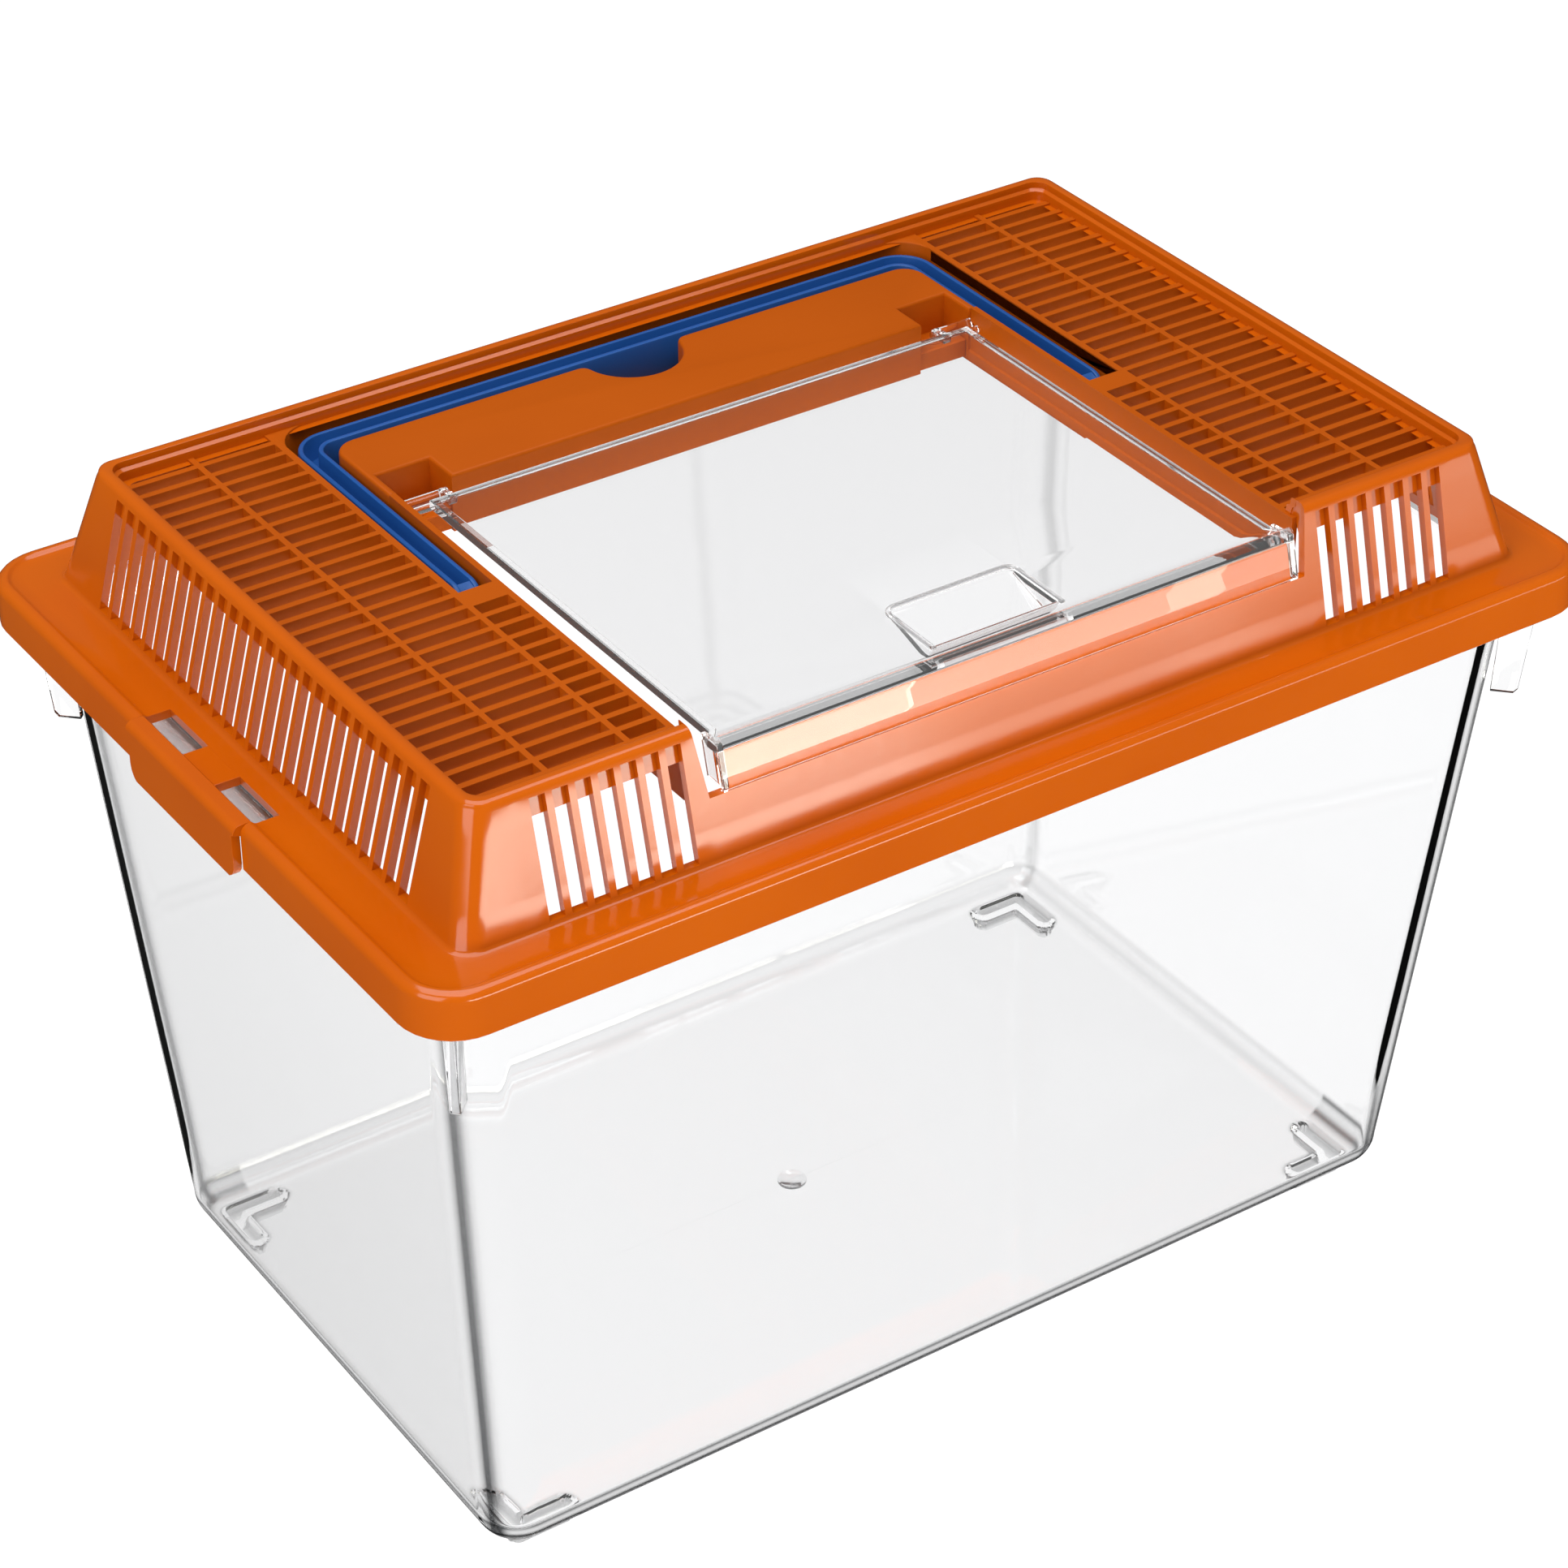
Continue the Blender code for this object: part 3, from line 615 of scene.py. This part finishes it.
    aboveSlot = np.arange(count - 1) >= np.argmax((outZ >= d["hatchSlotLow"] - 0.01) & afterDish)
    level[np.ix_(low, above)] = 2
    level[np.ix_(slots, aboveSlot)] = 2
    points, faces = sheet([outer, middle, inner], level, closedU=True)
    shell = finish("lidShell", points, faces, orange, "lid", bevel=0.22)
    walls = ("left", "right", "rear", "front_left", "front_middle", "front_right")
    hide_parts("lid_flange", *[f"crown_wall_{name}" for name in walls])


makeLidShell()
print("lid shell made")


# lid: vent decks, handle channel and rear bridge, in millimetres
deck = {
    "slots": 30,
    "openingX": 76.9,
    "channelIn": 78.4,
    "channelOut": 86.6,
    "channelFront": -4.9,
    "channelRear": 77.0,
    "channelFloor": 190.5,
    "channelCorner": 9.0,
    "webFront": -10.3,
    "wallLow": 190.0,
    "beadTop": 192.4,
    "bead": 0.45,
    "columns": ((78.42, 86.8), (88.2, 105.8), (107.2, 125.0)),
    "edgeX": 126.4,
    "edgeY": 78.4,
    "bridgeFront": 38.5,
    "bridgeRear": 65.0,
    "bridgeCorner": 5.5,
    "notchRadius": 12.0,
    "notchMouth": 2.5,
    "hingeNotch": ((62.8, 38.5), (76.3, 48.3)),
    "hingeFloor": 195.0,
    "hingeMark": (69.5, 43.3),
    "hingeMarkRadius": 2.7,
}


# A flat vented plate. Its strip beside the opening runs down as a wall with a bead along its foot.
def makeDeck(side, sign):
    d = deck
    slots = (np.arange(d["slots"]) - (d["slots"] - 1) / 2) * lid["pitch"]
    across = lines([d["openingX"], d["channelIn"], d["channelOut"], d["edgeX"]], *d["columns"])
    along = lines(slots - lid["gap"] / 2, slots + lid["gap"] / 2)
    along = lines(along, [d["webFront"], d["channelFront"], d["bridgeFront"], -d["edgeY"], d["edgeY"]])
    x, y = np.meshgrid(across, along, indexing="ij")
    strip = x <= d["channelIn"]
    layers = []
    beadStart = 1 - (d["beadTop"] - d["wallLow"]) / (lid["plateTop"] - d["wallLow"])
    for depth, out in ((0.0, 0.0), (beadStart, 0.0), (0.86, d["bead"]), (1.0, d["bead"])):
        low = np.where(strip, d["wallLow"], lid["plateLow"])
        z = lid["plateTop"] + (low - lid["plateTop"]) * depth
        layers.append(np.stack([sign * (x - out * (x == across[0])), y, z], -1))
    midX, midY = np.meshgrid((across[1:] + across[:-1]) / 2, (along[1:] + along[:-1]) / 2, indexing="ij")
    inSlot = abs(midY[..., None] - slots).min(-1) < lid["gap"] / 2
    hole = np.zeros(midX.shape, bool)
    for number, (start, end) in enumerate(d["columns"]):
        inColumn = (midX > start) & (midX < end) & inSlot
        hole |= inColumn & (midY < d["webFront"]) if number == 0 else inColumn
    hole |= (midX > d["channelIn"]) & (midX < d["channelOut"]) & (midY > d["channelFront"])
    hole |= (midX < d["channelOut"]) & (midY > d["bridgeFront"])
    if sign < 0:
        layers = [layer[::-1] for layer in layers]
        hole = hole[::-1]
    points, faces = sheet(layers, np.where(hole, len(layers) - 1, 0))
    piece = finish(f"ventDeck{side}", points, faces, satinOrange, "lid", bevel=0.18)
    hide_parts(f"grille_{side.lower()}")


# The trough that holds the folded handle: an outer wall on a path round three sides, and a floor.
def makeChannel():
    d = deck
    out, front, rear, r = d["channelOut"], d["channelFront"], d["channelRear"], d["channelCorner"]
    left = arc(-out + r, rear - r, r, 180, 90, 8)
    right = arc(out - r, rear - r, r, 90, 0, 8)
    ends = np.array([(-d["channelIn"], front), (-out, front), (out, front), (d["channelIn"], front)])
    path = np.concatenate([ends[:2], left, right, ends[2:]])
    edge = np.diff(path, axis=0)
    normal = np.stack([-edge[:, 1], edge[:, 0]], -1) / np.hypot(*edge.T)[:, None]
    normal = np.concatenate([normal[:1], normal, normal[-1:]])
    mitre = (normal[1:] + normal[:-1]) / (1 + (normal[1:] * normal[:-1]).sum(1))[:, None]
    square = path.copy()
    for centre, run in (((-out + r, rear - r), slice(2, 11)), ((out - r, rear - r), slice(11, 20))):
        away = path[run] - centre
        square[run] = centre + away * (r / abs(away).max(1))[:, None]
    top = lid["plateTop"]
    low = d["channelFloor"]
    rows = [(0.0, low - 1.2), (0.0, low + 2), (0.0, top - 0.35), (0.1, top - 0.1), (0.3, top)]
    face = [np.column_stack([path + out * mitre, np.full(len(path), z)]) for out, z in rows]
    face.append(np.column_stack([square + 0.45 * mitre, np.full(len(path), top - 0.01)]))
    back = [np.column_stack([path + 1.3 * mitre, np.full(len(path), z)]) for _, z in rows]
    back.append(np.column_stack([square + 0.5 * mitre, np.full(len(path), lid["plateLow"])]))
    for row in back[2:]:
        row[:, 2] = lid["plateLow"]
    wall = sheet([np.stack(face, 1), np.stack(back, 1)], np.zeros((len(path) - 1, len(face) - 1), int))
    floor = bow(out + 1, d["channelIn"] - 1.4, 50, rear + 1, r + 1, 2, [front - 1])
    slab = prism(floor, [(0, low - 1.5), (0, low)], strip=True)
    points, faces, caps = joined(wall, slab)
    piece = finish("handleChannel", points, faces, satinOrange, "lid", caps=caps)
    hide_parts("handle_channel_left", "handle_channel_right", "handle_channel_rear")


# The raised shelf behind the hatch: hinge notches at its front, a half-round finger notch at its rear.
def makeBridge():
    d = deck
    (inX, frontY), (outX, backY) = d["hingeNotch"]
    side, rear, big, mouth = d["channelIn"], d["bridgeRear"], d["notchRadius"], d["notchMouth"]
    mouthX = math.sqrt((big + mouth) ** 2 - mouth**2)
    turn = math.degrees(math.atan2(mouth, mouthX))
    r = d["bridgeCorner"]
    notch = np.array([(outX, frontY), (outX, backY), (inX, backY), (inX, frontY)])
    outline = np.concatenate(
        [
            [(-side, frontY)],
            notch * (-1, 1),
            notch[::-1],
            [(side, frontY)],
            arc(side - r, rear - r, r, 0, 90, 6),
            arc(mouthX, rear - mouth, mouth, 90, 180 - turn, 4),
            arc(0, rear, big, -turn, turn - 180, 20),
            arc(-mouthX, rear - mouth, mouth, turn, 90, 4),
            arc(-side + r, rear - r, r, 90, 180, 6),
        ]
    )
    top = lid["plateTop"]
    rows = [(0.9, top - 2.2), (0.9, d["wallLow"]), (0, d["wallLow"]), (0, top - 0.9)]
    for a in np.radians((22.5, 45, 67.5, 90)):
        rows.append((0.9 - 0.9 * math.cos(a), top - 0.9 + 0.9 * math.sin(a)))
    shelf = prism(outline, rows)
    seatTop = d["hingeFloor"]
    markX, markY = d["hingeMark"]
    floors = []
    for sign in (-1, 1):
        lowX, highX = sorted((sign * inX, sign * outX))
        seat = roundedBox((lowX, frontY + 0.6), (highX, backY + 0.5), 0.4)
        floors.append(prism(seat, [(0, d["wallLow"] + 0.5), (0, seatTop - 0.3), (0.3, seatTop)]))
        mark = roundOutline(sign * markX, markY, d["hingeMarkRadius"])
        floors.append(prism(mark, [(0, seatTop - 0.4), (0, seatTop + 0.15), (0.2, seatTop + 0.3)]))
    points, faces, caps = joined(shelf, *floors)
    piece = finish("rearBridge", points, faces, satinOrange, "lid", caps=caps)
    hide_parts("rear_bridge")


makeDeck("Left", -1)
makeDeck("Right", 1)
makeChannel()
makeBridge()
print("decks, channel and bridge made")


# latch tabs, in millimetres
latch = {
    "faceX": 151.7,
    "low": 166.6,
    "cornerRound": 4.0,
    "bridgeHalf": 7.0,
    "plateHalf": 23.0,
    "topHalf": 23.85,
    "slitTop": 178.4,
    "thicknessAndFoldShade": 2.0,
}


# A tab that hangs over the rim, with its border above and a short bridge in to the lid.
def makeLatch(side, sign):
    d = latch
    x, low, thicknessAndFoldShade, under = d["faceX"], d["low"], d["thicknessAndFoldShade"], lid["under"]
    rows = [(x - 0.4, low, x - thicknessAndFoldShade + 0.4, low), (x, low + 0.4, x - thicknessAndFoldShade, low + 0.4)]
    rows += [(x, z, x - thicknessAndFoldShade, z) for z in (167.8, 169.0, 170.6, 174.0, 177.2)]
    rows += [(x, d["slitTop"] - 0.3, x - thicknessAndFoldShade, under - 0.05), (x, d["slitTop"], x - thicknessAndFoldShade - 0.1, under)]
    bend = arc(x - 1.9, lid["flangeTop"] - 1.9, 1.9, 8, 90, 5)
    rows += [(a, b, x - thicknessAndFoldShade - 0.3 - 0.3 * n, under) for n, (a, b) in enumerate(bend)]
    rows += [(147.45, 180.38, 147.3, under), (147.1, 180.1, 147.1, under), (146.9, 179.65, 146.9, under)]
    rows += [(a, lid["dish"], a, under) for a in (143.5, lid["slotIn"] - 0.05)]
    outX, outZ, inX, inZ = np.array(rows).T
    away = np.clip(low + d["cornerRound"] - outZ, 0, d["cornerRound"])
    half = np.where(outZ < d["slitTop"] - 0.1, d["plateHalf"], d["topHalf"])
    half = half - (d["cornerRound"] - np.sqrt(d["cornerRound"] ** 2 - away**2)) * (outX > 149)
    y = np.array([-1, -0.93, -0.8, -0.6])
    y = np.concatenate([y, [-0.32, 0.32], -y[::-1]])
    place = y[:, None] * half[None, :]
    place[4:6] = [[-d["bridgeHalf"]], [d["bridgeHalf"]]]
    shape = np.ones(len(y))[:, None]
    outer = np.stack([outX * shape, place, outZ * shape], -1)
    inner = np.stack([inX * shape, place, inZ * shape], -1)
    hole = (np.arange(len(rows) - 1)[None, :] >= len(rows) - 3) & (abs((y[1:] + y[:-1])[:, None]) > 0.1)
    layers = [outer, inner]
    if sign < 0:
        layers = [layer * (-1, -1, 1) for layer in layers]
    points, faces = sheet(layers, np.where(hole, 1, 0))
    body = f"latch_{side.lower()}"
    piece = finish(f"latchTab{side}", points, faces, orange, body, bevel=0.25)
    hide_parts(f"latch_tab_{side.lower()}")


makeLatch("Left", -1)
makeLatch("Right", 1)
print("latch tabs made")


# handle, in millimetres
handle = {
    "outX": 84.85,
    "inX": 79.3,
    "barFront": 69.0,
    "barRear": 74.5,
    "end": -2.3,
    "low": 191.7,
    "high": 202.55,
    "outRound": 8.75,
    "inRound": 4.0,
    "noseRound": 4.0,
    "grooveEnd": 1.0,
    "grooveDepth": 5.5,
    "pivot": (3.5, 197.3),
    "pinRadius": 2.3,
    "pins": ((-86.3, -84.5), (-79.6, -77.4), (77.4, 79.6), (84.5, 86.3)),
}


# A U-shaped bar with a groove in its top: an outline carried up, over the rim and down into the groove.
def makeHandle():
    d = handle
    out, inside, end = d["outX"], d["inX"], d["end"]
    nose = end + d["noseRound"] * (1 - np.cos(np.radians(np.arange(0, 91, 15))))
    ends = np.concatenate([nose, [8.0, 30.0]])
    outline = bow(out, inside, d["barFront"], d["barRear"], d["outRound"], d["inRound"], ends)
    low, high, deep = d["low"], d["high"], d["high"] - d["grooveDepth"]
    rows = [(0.7, low), (0.2, low + 0.2), (0, low + 0.7), (0, high - 0.6), (0.16, high - 0.2)]
    rows += [(0.5, high), (0.95, high), (1.15, high - 0.12), (1.26, high - 0.4)]
    rows += [(1.42, deep + 0.4), (1.7, deep)]
    points, faces, caps = prism(outline, rows, strip=True)
    row = np.arange(len(points)) % len(rows)
    nearest = np.where(row >= 8, d["grooveEnd"], end + np.array(rows)[row, 0])
    points[:, 1] = np.maximum(points[:, 1], nearest)
    middle, half, r = (low + high) / 2, (high - low) / 2, d["noseRound"]
    short = np.clip(end + r - points[:, 1], 0, r)
    points[:, 2] = middle + (points[:, 2] - middle) * (half - r + np.sqrt(r * r - short**2)) / half
    pin = roundOutline(*d["pivot"], d["pinRadius"])
    pins = [prism(pin, bevelled(start, stop, 0.2, 0.2), alongX) for start, stop in d["pins"]]
    points, faces, caps = joined((points, faces, caps), *pins)
    piece = finish("handleGrip", points, faces, blue, "handle", caps=caps)
    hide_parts("handle_grip")


makeHandle()
print("handle made")


# hatch, in millimetres
hatch = {
    "halfX": 71.75,
    "lipHalfX": 73.5,
    "rear": 32.9,
    "top": 203.2,
    "ridge": 0.45,
    "ridgeWidth": 1.9,
    "thicknessAndFoldShade": 1.7,
    "lipTop": 204.85,
    "lipLow": 193.7,
    "lipOut": 1.6,
    "scoopHalf": 16.3,
    "scoopRear": -59.0,
    "scoopFront": -76.0,
    "scoopDeep": 5.0,
    "returnDeep": 6.1,
    "returnLow": 194.3,
    "axis": (37.1, 200.9),
    "rod": 1.5,
    "rodX": (65.0, 76.1),
    "thinRod": 0.9,
    "earX": (64.9, 67.0),
    "wallFront": 80.3,
    "wallLean": 0.267,
}


def crownFrontY(z):
    return -(hatch["wallFront"] + (lid["crownTop"] - z) * hatch["wallLean"])


# One clear sheet bent over the lid's front wall: a flat panel with a raised border and a finger scoop,
# and a lip that hangs in front with an end plate at each side.
def makeHatch():
    d = hatch
    top, thicknessAndFoldShade, out = d["top"], d["thicknessAndFoldShade"], d["lipOut"]
    deep = [d["scoopFront"] + 0.35, d["scoopFront"], d["scoopRear"], d["scoopRear"] - 1.0]
    ridgeY = d["rear"] - d["ridgeWidth"]
    flat = lines([d["rear"], d["rear"] - 0.35, ridgeY + 0.3, ridgeY], deep)
    flat = lines(flat, [-64, -68, -72, -77.4, 20, 0, -20, -40])
    rows = [(y, top, y, top - thicknessAndFoldShade) for y in flat[::-1]]
    front = crownFrontY(204.0) - out
    rows += [(-79.6, top + 0.12, -79.4, top - thicknessAndFoldShade), (-80.6, top + 0.7, -80.3, top - thicknessAndFoldShade)]
    rows += [(front + 1.7, 204.6, -81.0, 201.55), (front + 1.0, d["lipTop"], -81.6, 201.6)]
    rows += [(front + 0.35, 204.65, -81.85, 201.5), (front + 0.02, 204.1, -82.0, 201.3)]
    rows += [(crownFrontY(z) - out, z, crownFrontY(z - 0.5) - 0.15, z - 0.5) for z in (201.0, 197.5, 194.6)]
    foot, edgeZ = crownFrontY(d["lipLow"]), 193.9
    rows.append((crownFrontY(edgeZ) - out + 0.15, edgeZ, crownFrontY(edgeZ) - 0.15, edgeZ))
    rows.append((foot - out + 0.6, d["lipLow"] - 0.02, foot - 0.6, d["lipLow"] - 0.02))
    outY, outZ, inY, inZ = np.array(rows).T
    half = np.interp(-outY, [0, 77.4, 79.6, 200], [d["halfX"], d["halfX"], d["lipHalfX"], d["lipHalfX"]])
    edge = d["halfX"] - d["ridgeWidth"]
    s = d["scoopHalf"]
    x = lines([0, 8, s - 1.3, s - 0.35, s, 40, edge, edge + 0.35, d["halfX"] - 0.3, d["halfX"]])
    x = np.concatenate([x[::-1], -x[1:]])
    place = x[:, None] * half[None, :] / d["halfX"]
    shape = np.ones(len(x))[:, None]
    outer = np.stack([place, outY * shape, outZ * shape], -1)
    inner = np.stack([place, inY * shape, inZ * shape], -1)
    y, span = outer[..., 1], abs(place)
    border = np.clip((span - edge) / 0.35, 0, 1) * (y > -78)
    border = np.maximum(border, np.clip((y - d["rear"] + d["ridgeWidth"]) / 0.35, 0, 1))
    trim = np.clip((span - d["halfX"] + 0.3) / 0.3, 0, 1) * (y > -78)
    trim = trim + np.clip((y - d["rear"] + 0.35) / 0.35, 0, 1)
    outer[..., 2] += d["ridge"] * border - 0.25 * np.minimum(trim, 1)
    inScoop = np.clip((s - span) / 0.35, 0, 1) * (y <= d["scoopRear"] + 1e-6) * (y >= d["scoopFront"] + 0.3)
    forward = np.clip((d["scoopRear"] - y) / (d["scoopRear"] - d["scoopFront"]), 0, 1)
    drop = inScoop * d["scoopDeep"] * forward
    outer[..., 2] -= drop
    inner[..., 2] -= drop * 0.98
    panel = sheet([outer, inner], np.zeros((len(x) - 1, len(rows) - 1), int))
    scoopRear = d["scoopRear"]
    rim = bow(s + 0.75, s - 0.4, scoopRear - 0.45, scoopRear + 0.7, 3.2, 2.1, [-77.2, -72.0, -66.0], 8)
    rimTop = top + d["ridge"] + 0.1
    rimRows = [(0, top - 0.4), (0, rimTop - 0.25), (0.08, rimTop - 0.08), (0.28, rimTop)]
    raised = prism(rim, rimRows, strip=True)
    back, low = d["returnDeep"], d["returnLow"]
    slant = crownFrontY(top) - crownFrontY(low)
    foot = crownFrontY(low) - out + 0.4
    plate = [(foot, low), (foot + back, low), (foot + back + slant, 203.4), (foot + slant, 203.9)]
    starts = (d["lipHalfX"] - 1.5, -d["lipHalfX"] + 0.1)
    ends = [prism(plate, bevelled(start, start + 1.4, 0.25, 0.2), alongX) for start in starts]
    points, faces, caps = joined(panel, raised, *ends)
    piece = finish("hatchCover", points, faces, hatchClear, "hatch", caps=caps, bevel=0.15)
    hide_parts("hatch_panel", "hatch_lip")


# A round bar that sits in the bridge's notch, a thinner bar in front of it, and an ear out of the panel.
def makeHatchHinge(side, sign):
    d = hatch
    y, z = d["axis"]
    start, stop = sorted((sign * d["rodX"][0], sign * d["rodX"][1]))
    rod = prism(roundOutline(y, z, d["rod"]), bevelled(start, stop, 0.3, 0.3), alongX)
    thin = prism(roundOutline(y - 2.6, z - 0.2, d["thinRod"]), bevelled(start, stop, 0.2, 0.2), alongX)
    earStart, earStop = sorted((sign * d["earX"][0], sign * d["earX"][1]))
    section = roundedBox((d["rear"] - 0.6, 199.6), (y + 0.6, 202.7), 0.8)
    ear = prism(section, bevelled(earStart, earStop, 0.25, 0.25), alongX)
    points, faces, caps = joined(rod, thin, ear)
    piece = finish(f"hatchHinge{side}", points, faces, hatchClear, "hatch", caps=caps)
    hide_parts(f"hatch_hinge_{side.lower()}")


makeHatch()
makeHatchHinge("Left", -1)
makeHatchHinge("Right", 1)
print("hatch made")


# tank, in millimetres
tank = {
    "halfX": 126.6,
    "halfY": 75.37,
    "bendTop": 13.0,
    "slope": 0.0803,
    "floorLow": 4.0,
    "wall": 2.0,
    "corner": 10.0,
    "rimX": 146.0,
    "rimY": 95.5,
    "rimLow": 175.2,
    "rimHigh": 177.2,
    "rimCorner": 13.0,
    "footX": 119.1,
    "footY": 67.45,
    "footArm": 16.5,
    "footHalf": 2.5,
    "gateRadius": 3.6,
    "foldHeights": (9.4, 5.6),
    "bow": 0.8,
}


def smooth(value):
    value = np.clip(value, 0, 1)
    return value * value * (3 - 2 * value)


# How far a place on the floor is from the middle line of its corner's L.
def footDistance(x, y):
    d = tank
    x, y = abs(x) - (d["footX"] - d["footHalf"]), abs(y) - (d["footY"] - d["footHalf"])
    arm = d["footArm"] - 2 * d["footHalf"]
    first = np.hypot(x - np.clip(x, -arm, 0), y)
    second = np.hypot(x, y - np.clip(y, -arm, 0))
    return np.minimum(first, second)


# Rings of a rounded rectangle, from the middle of the floor's underside, out, up, over the rim, and back
# down inside. The floor is pressed down into four L-shaped feet. Rows are (inset, height).
def makeTank():
    d = tank
    wall, bendTop, slope, corner = d["wall"], d["bendTop"], d["slope"], d["corner"]
    bendOut, bendIn = bendTop - d["floorLow"], bendTop - d["floorLow"] - wall
    flat = np.concatenate([[75.36, 60, 40, 28, 24, 20, 17], np.arange(15, 9, -0.5)])
    turn = np.radians(np.linspace(90, 0, 25))
    heights = np.linspace(bendTop, d["rimLow"], 16)[1:-1]
    outerRows = [(inset, d["floorLow"]) for inset in flat]
    outerRows += [(bendOut - bendOut * math.cos(a), bendTop - bendOut * math.sin(a)) for a in turn]
    outerRows += [(-slope * (z - bendTop), z) for z in heights]
    innerRows = [(-slope * (z - bendTop) + wall, z) for z in heights[::-1]]
    innerRows += [(wall + bendIn - bendIn * math.cos(a), bendTop - bendIn * math.sin(a)) for a in turn[::-1]]
    innerRows += [(inset, d["floorLow"] + wall) for inset in flat[::-1]]

    def wallRings(rows):
        inset, z = np.array(rows).T
        return (d["halfX"] - inset, d["halfY"] - inset, np.maximum(corner - np.maximum(inset, 0), 0.0), z)

    rimX, rimY, rimCorner, low, high = (d[key] for key in ("rimX", "rimY", "rimCorner", "rimLow", "rimHigh"))
    reach = d["halfX"] + slope * (low - bendTop)
    wide = d["halfY"] + slope * (low - bendTop)
    rim = [(reach, wide, corner, low - 0.8), (reach + 0.8, wide + 0.8, corner, low)]
    rim += [(rimX - 0.5, rimY - 0.5, rimCorner, low), (rimX, rimY, rimCorner, low + 0.5)]
    rim += [(rimX, rimY, rimCorner, high - 0.5), (rimX - 0.5, rimY - 0.5, rimCorner, high)]
    rim.append((reach - wall + 1.0, wide - wall + 1.0, 9.0, high))
    rim.append((reach - wall + 0.2, wide - wall + 0.2, 8.0, high - 0.8))
    parts = zip(wallRings(outerRows), np.array(rim).T, wallRings(innerRows))
    halfX, halfY, radius, z = (np.concatenate(part) for part in parts)
    halfY = np.maximum(halfY, 0)
    radius = np.minimum(radius, halfY)

    def places(length, reachOf):
        near = np.linspace(1 - 25 / length, 1, 32)
        middle = np.linspace(-near[0], near[0], 10)[1:-1]
        share = np.concatenate([-near[::-1], middle, near])
        return share[:, None] * reachOf[None, :]

    path = ringPath(places(65, halfY - radius), places(116, halfX - radius), halfX, halfY, radius, 15)
    rowInside = np.arange(len(z)) >= len(outerRows) + len(rim)
    grid = np.concatenate([path, np.repeat(z[None, :, None], len(path), 0)], -1)
    away = footDistance(grid[..., 0], grid[..., 1])
    lowPart = smooth((30 - grid[..., 2]) / 10) * smooth((14 - grid[..., 2]) / 2)
    outsideMask = smooth((d["footHalf"] + 0.35 - away) / 0.7) * lowPart * ~rowInside
    insideMask = smooth((1.75 - away) / 1.2) * lowPart * rowInside
    grid[..., 2] = grid[..., 2] * (1 - outsideMask)
    grid[..., 2] = grid[..., 2] * (1 - insideMask) + 1.9 * insideMask
    bulge = d["bow"] * np.clip(1 - (grid[..., 1] / 80) ** 2, 0, 1)
    bulge = bulge * np.clip((grid[..., 2] - bendTop) / 160, 0, 1)
    grid[..., 0] += np.sign(grid[..., 0]) * bulge * (abs(grid[..., 0]) > 115)
    # painted shade: dark lines where the sheet turns, two along the bottom bend, one down each corner,
    # and a third round each foot; they are strong at front and left
    upper, lower = d["foldHeights"]
    alongBend = np.exp(-(((z - upper) / 0.9) ** 2)) + np.exp(-(((z - lower) / 0.8) ** 2))
    alongBend = alongBend + 0.3 * (z < upper) * (z > lower)
    nearFront = (grid[..., 1] < -50) | (grid[..., 0] < -110)
    foldRowShade = np.clip(alongBend, 0, 1) * (abs(halfX - 125) < 5) * ~rowInside * np.where(nearFront, 0.97, 0.3)
    quarter = len(path) // 4
    degrees = (np.arange(len(path))[:, None] % quarter - (quarter - 16)) * 6.0  # how far round its corner
    share = np.clip(1.3 * np.exp(-(((degrees - 28) / 11) ** 2)), 0, 1)
    darkness = np.where(nearFront, 0.99, 0.5) - 0.07 * z / d["rimLow"]
    foldCornerShade = share * darkness * (z < d["rimLow"] - 1) * (z > 5) * ~rowInside
    footEdgeShade = np.exp(-(((away - d["footHalf"] - 0.3) / 0.7) ** 2)) * lowPart * ~rowInside
    # the three painted shade marks together, as the bend value
    bend = 1 - (1 - foldRowShade) * (1 - foldCornerShade) * (1 - 0.85 * footEdgeShade)
    floorTop, gate = d["floorLow"] + wall, d["gateRadius"]
    markRows = [(0, floorTop - 0.3), (0, floorTop + 0.3), (0.3, floorTop + 0.5)]
    mark = prism(roundOutline(0, 0, gate, 8), markRows)
    points, faces, caps = joined((grid.reshape(-1, 3), gridFaces(*grid.shape[:2], closedU=True)), mark)
    bend = np.concatenate([np.ravel(bend), np.zeros(len(mark[0]))])
    piece = finish("tankBox", points, faces, tankClear, "tank", caps=caps, sharp=50, bend=bend)
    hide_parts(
        "tank_shell", "foot_front_left", "foot_front_right", "foot_rear_left", "foot_rear_right"
    )


finShape = {
    "low": ((-4.0, 143.2), (1.2, 143.2), (2.2, 144.4)),
    "high": ((4.0, 161.0), (5.4, 174.9), (-2.2, 174.9), (-3.2, 160.0)),
    "rows": ((0.5, -1.2), (0.1, -1.05), (0, -0.7), (0, 0.7), (0.1, 1.05), (0.5, 1.2)),
    "place": (138, 87),
}


# A slim plate on the diagonal of a corner, under the rim.
def makeFin(name, signX, signY):
    points, faces, caps = prism(finShape["low"] + finShape["high"], finShape["rows"])
    outward, z, across = points.T
    placeX, placeY = finShape["place"]
    diagonal = math.sqrt(0.5)
    x = placeX + (outward + across) * diagonal
    y = placeY + (outward - across) * diagonal
    points = np.stack([signX * x, signY * y, z], -1)
    if signX * signY < 0:
        faces, caps = faces[:, ::-1], [cap[::-1] for cap in caps]
    return finish(f"cornerFin{name}", points, faces, tankClear, "tank", caps=caps)


makeTank()
corners = (("FrontLeft", -1, -1), ("FrontRight", 1, -1), ("RearLeft", -1, 1), ("RearRight", 1, 1))
for name, signX, signY in corners:
    fin = makeFin(name, signX, signY)
    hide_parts("corner_fin_" + ("front" if signY < 0 else "rear") + ("_left" if signX < 0 else "_right"))
print("tank made")
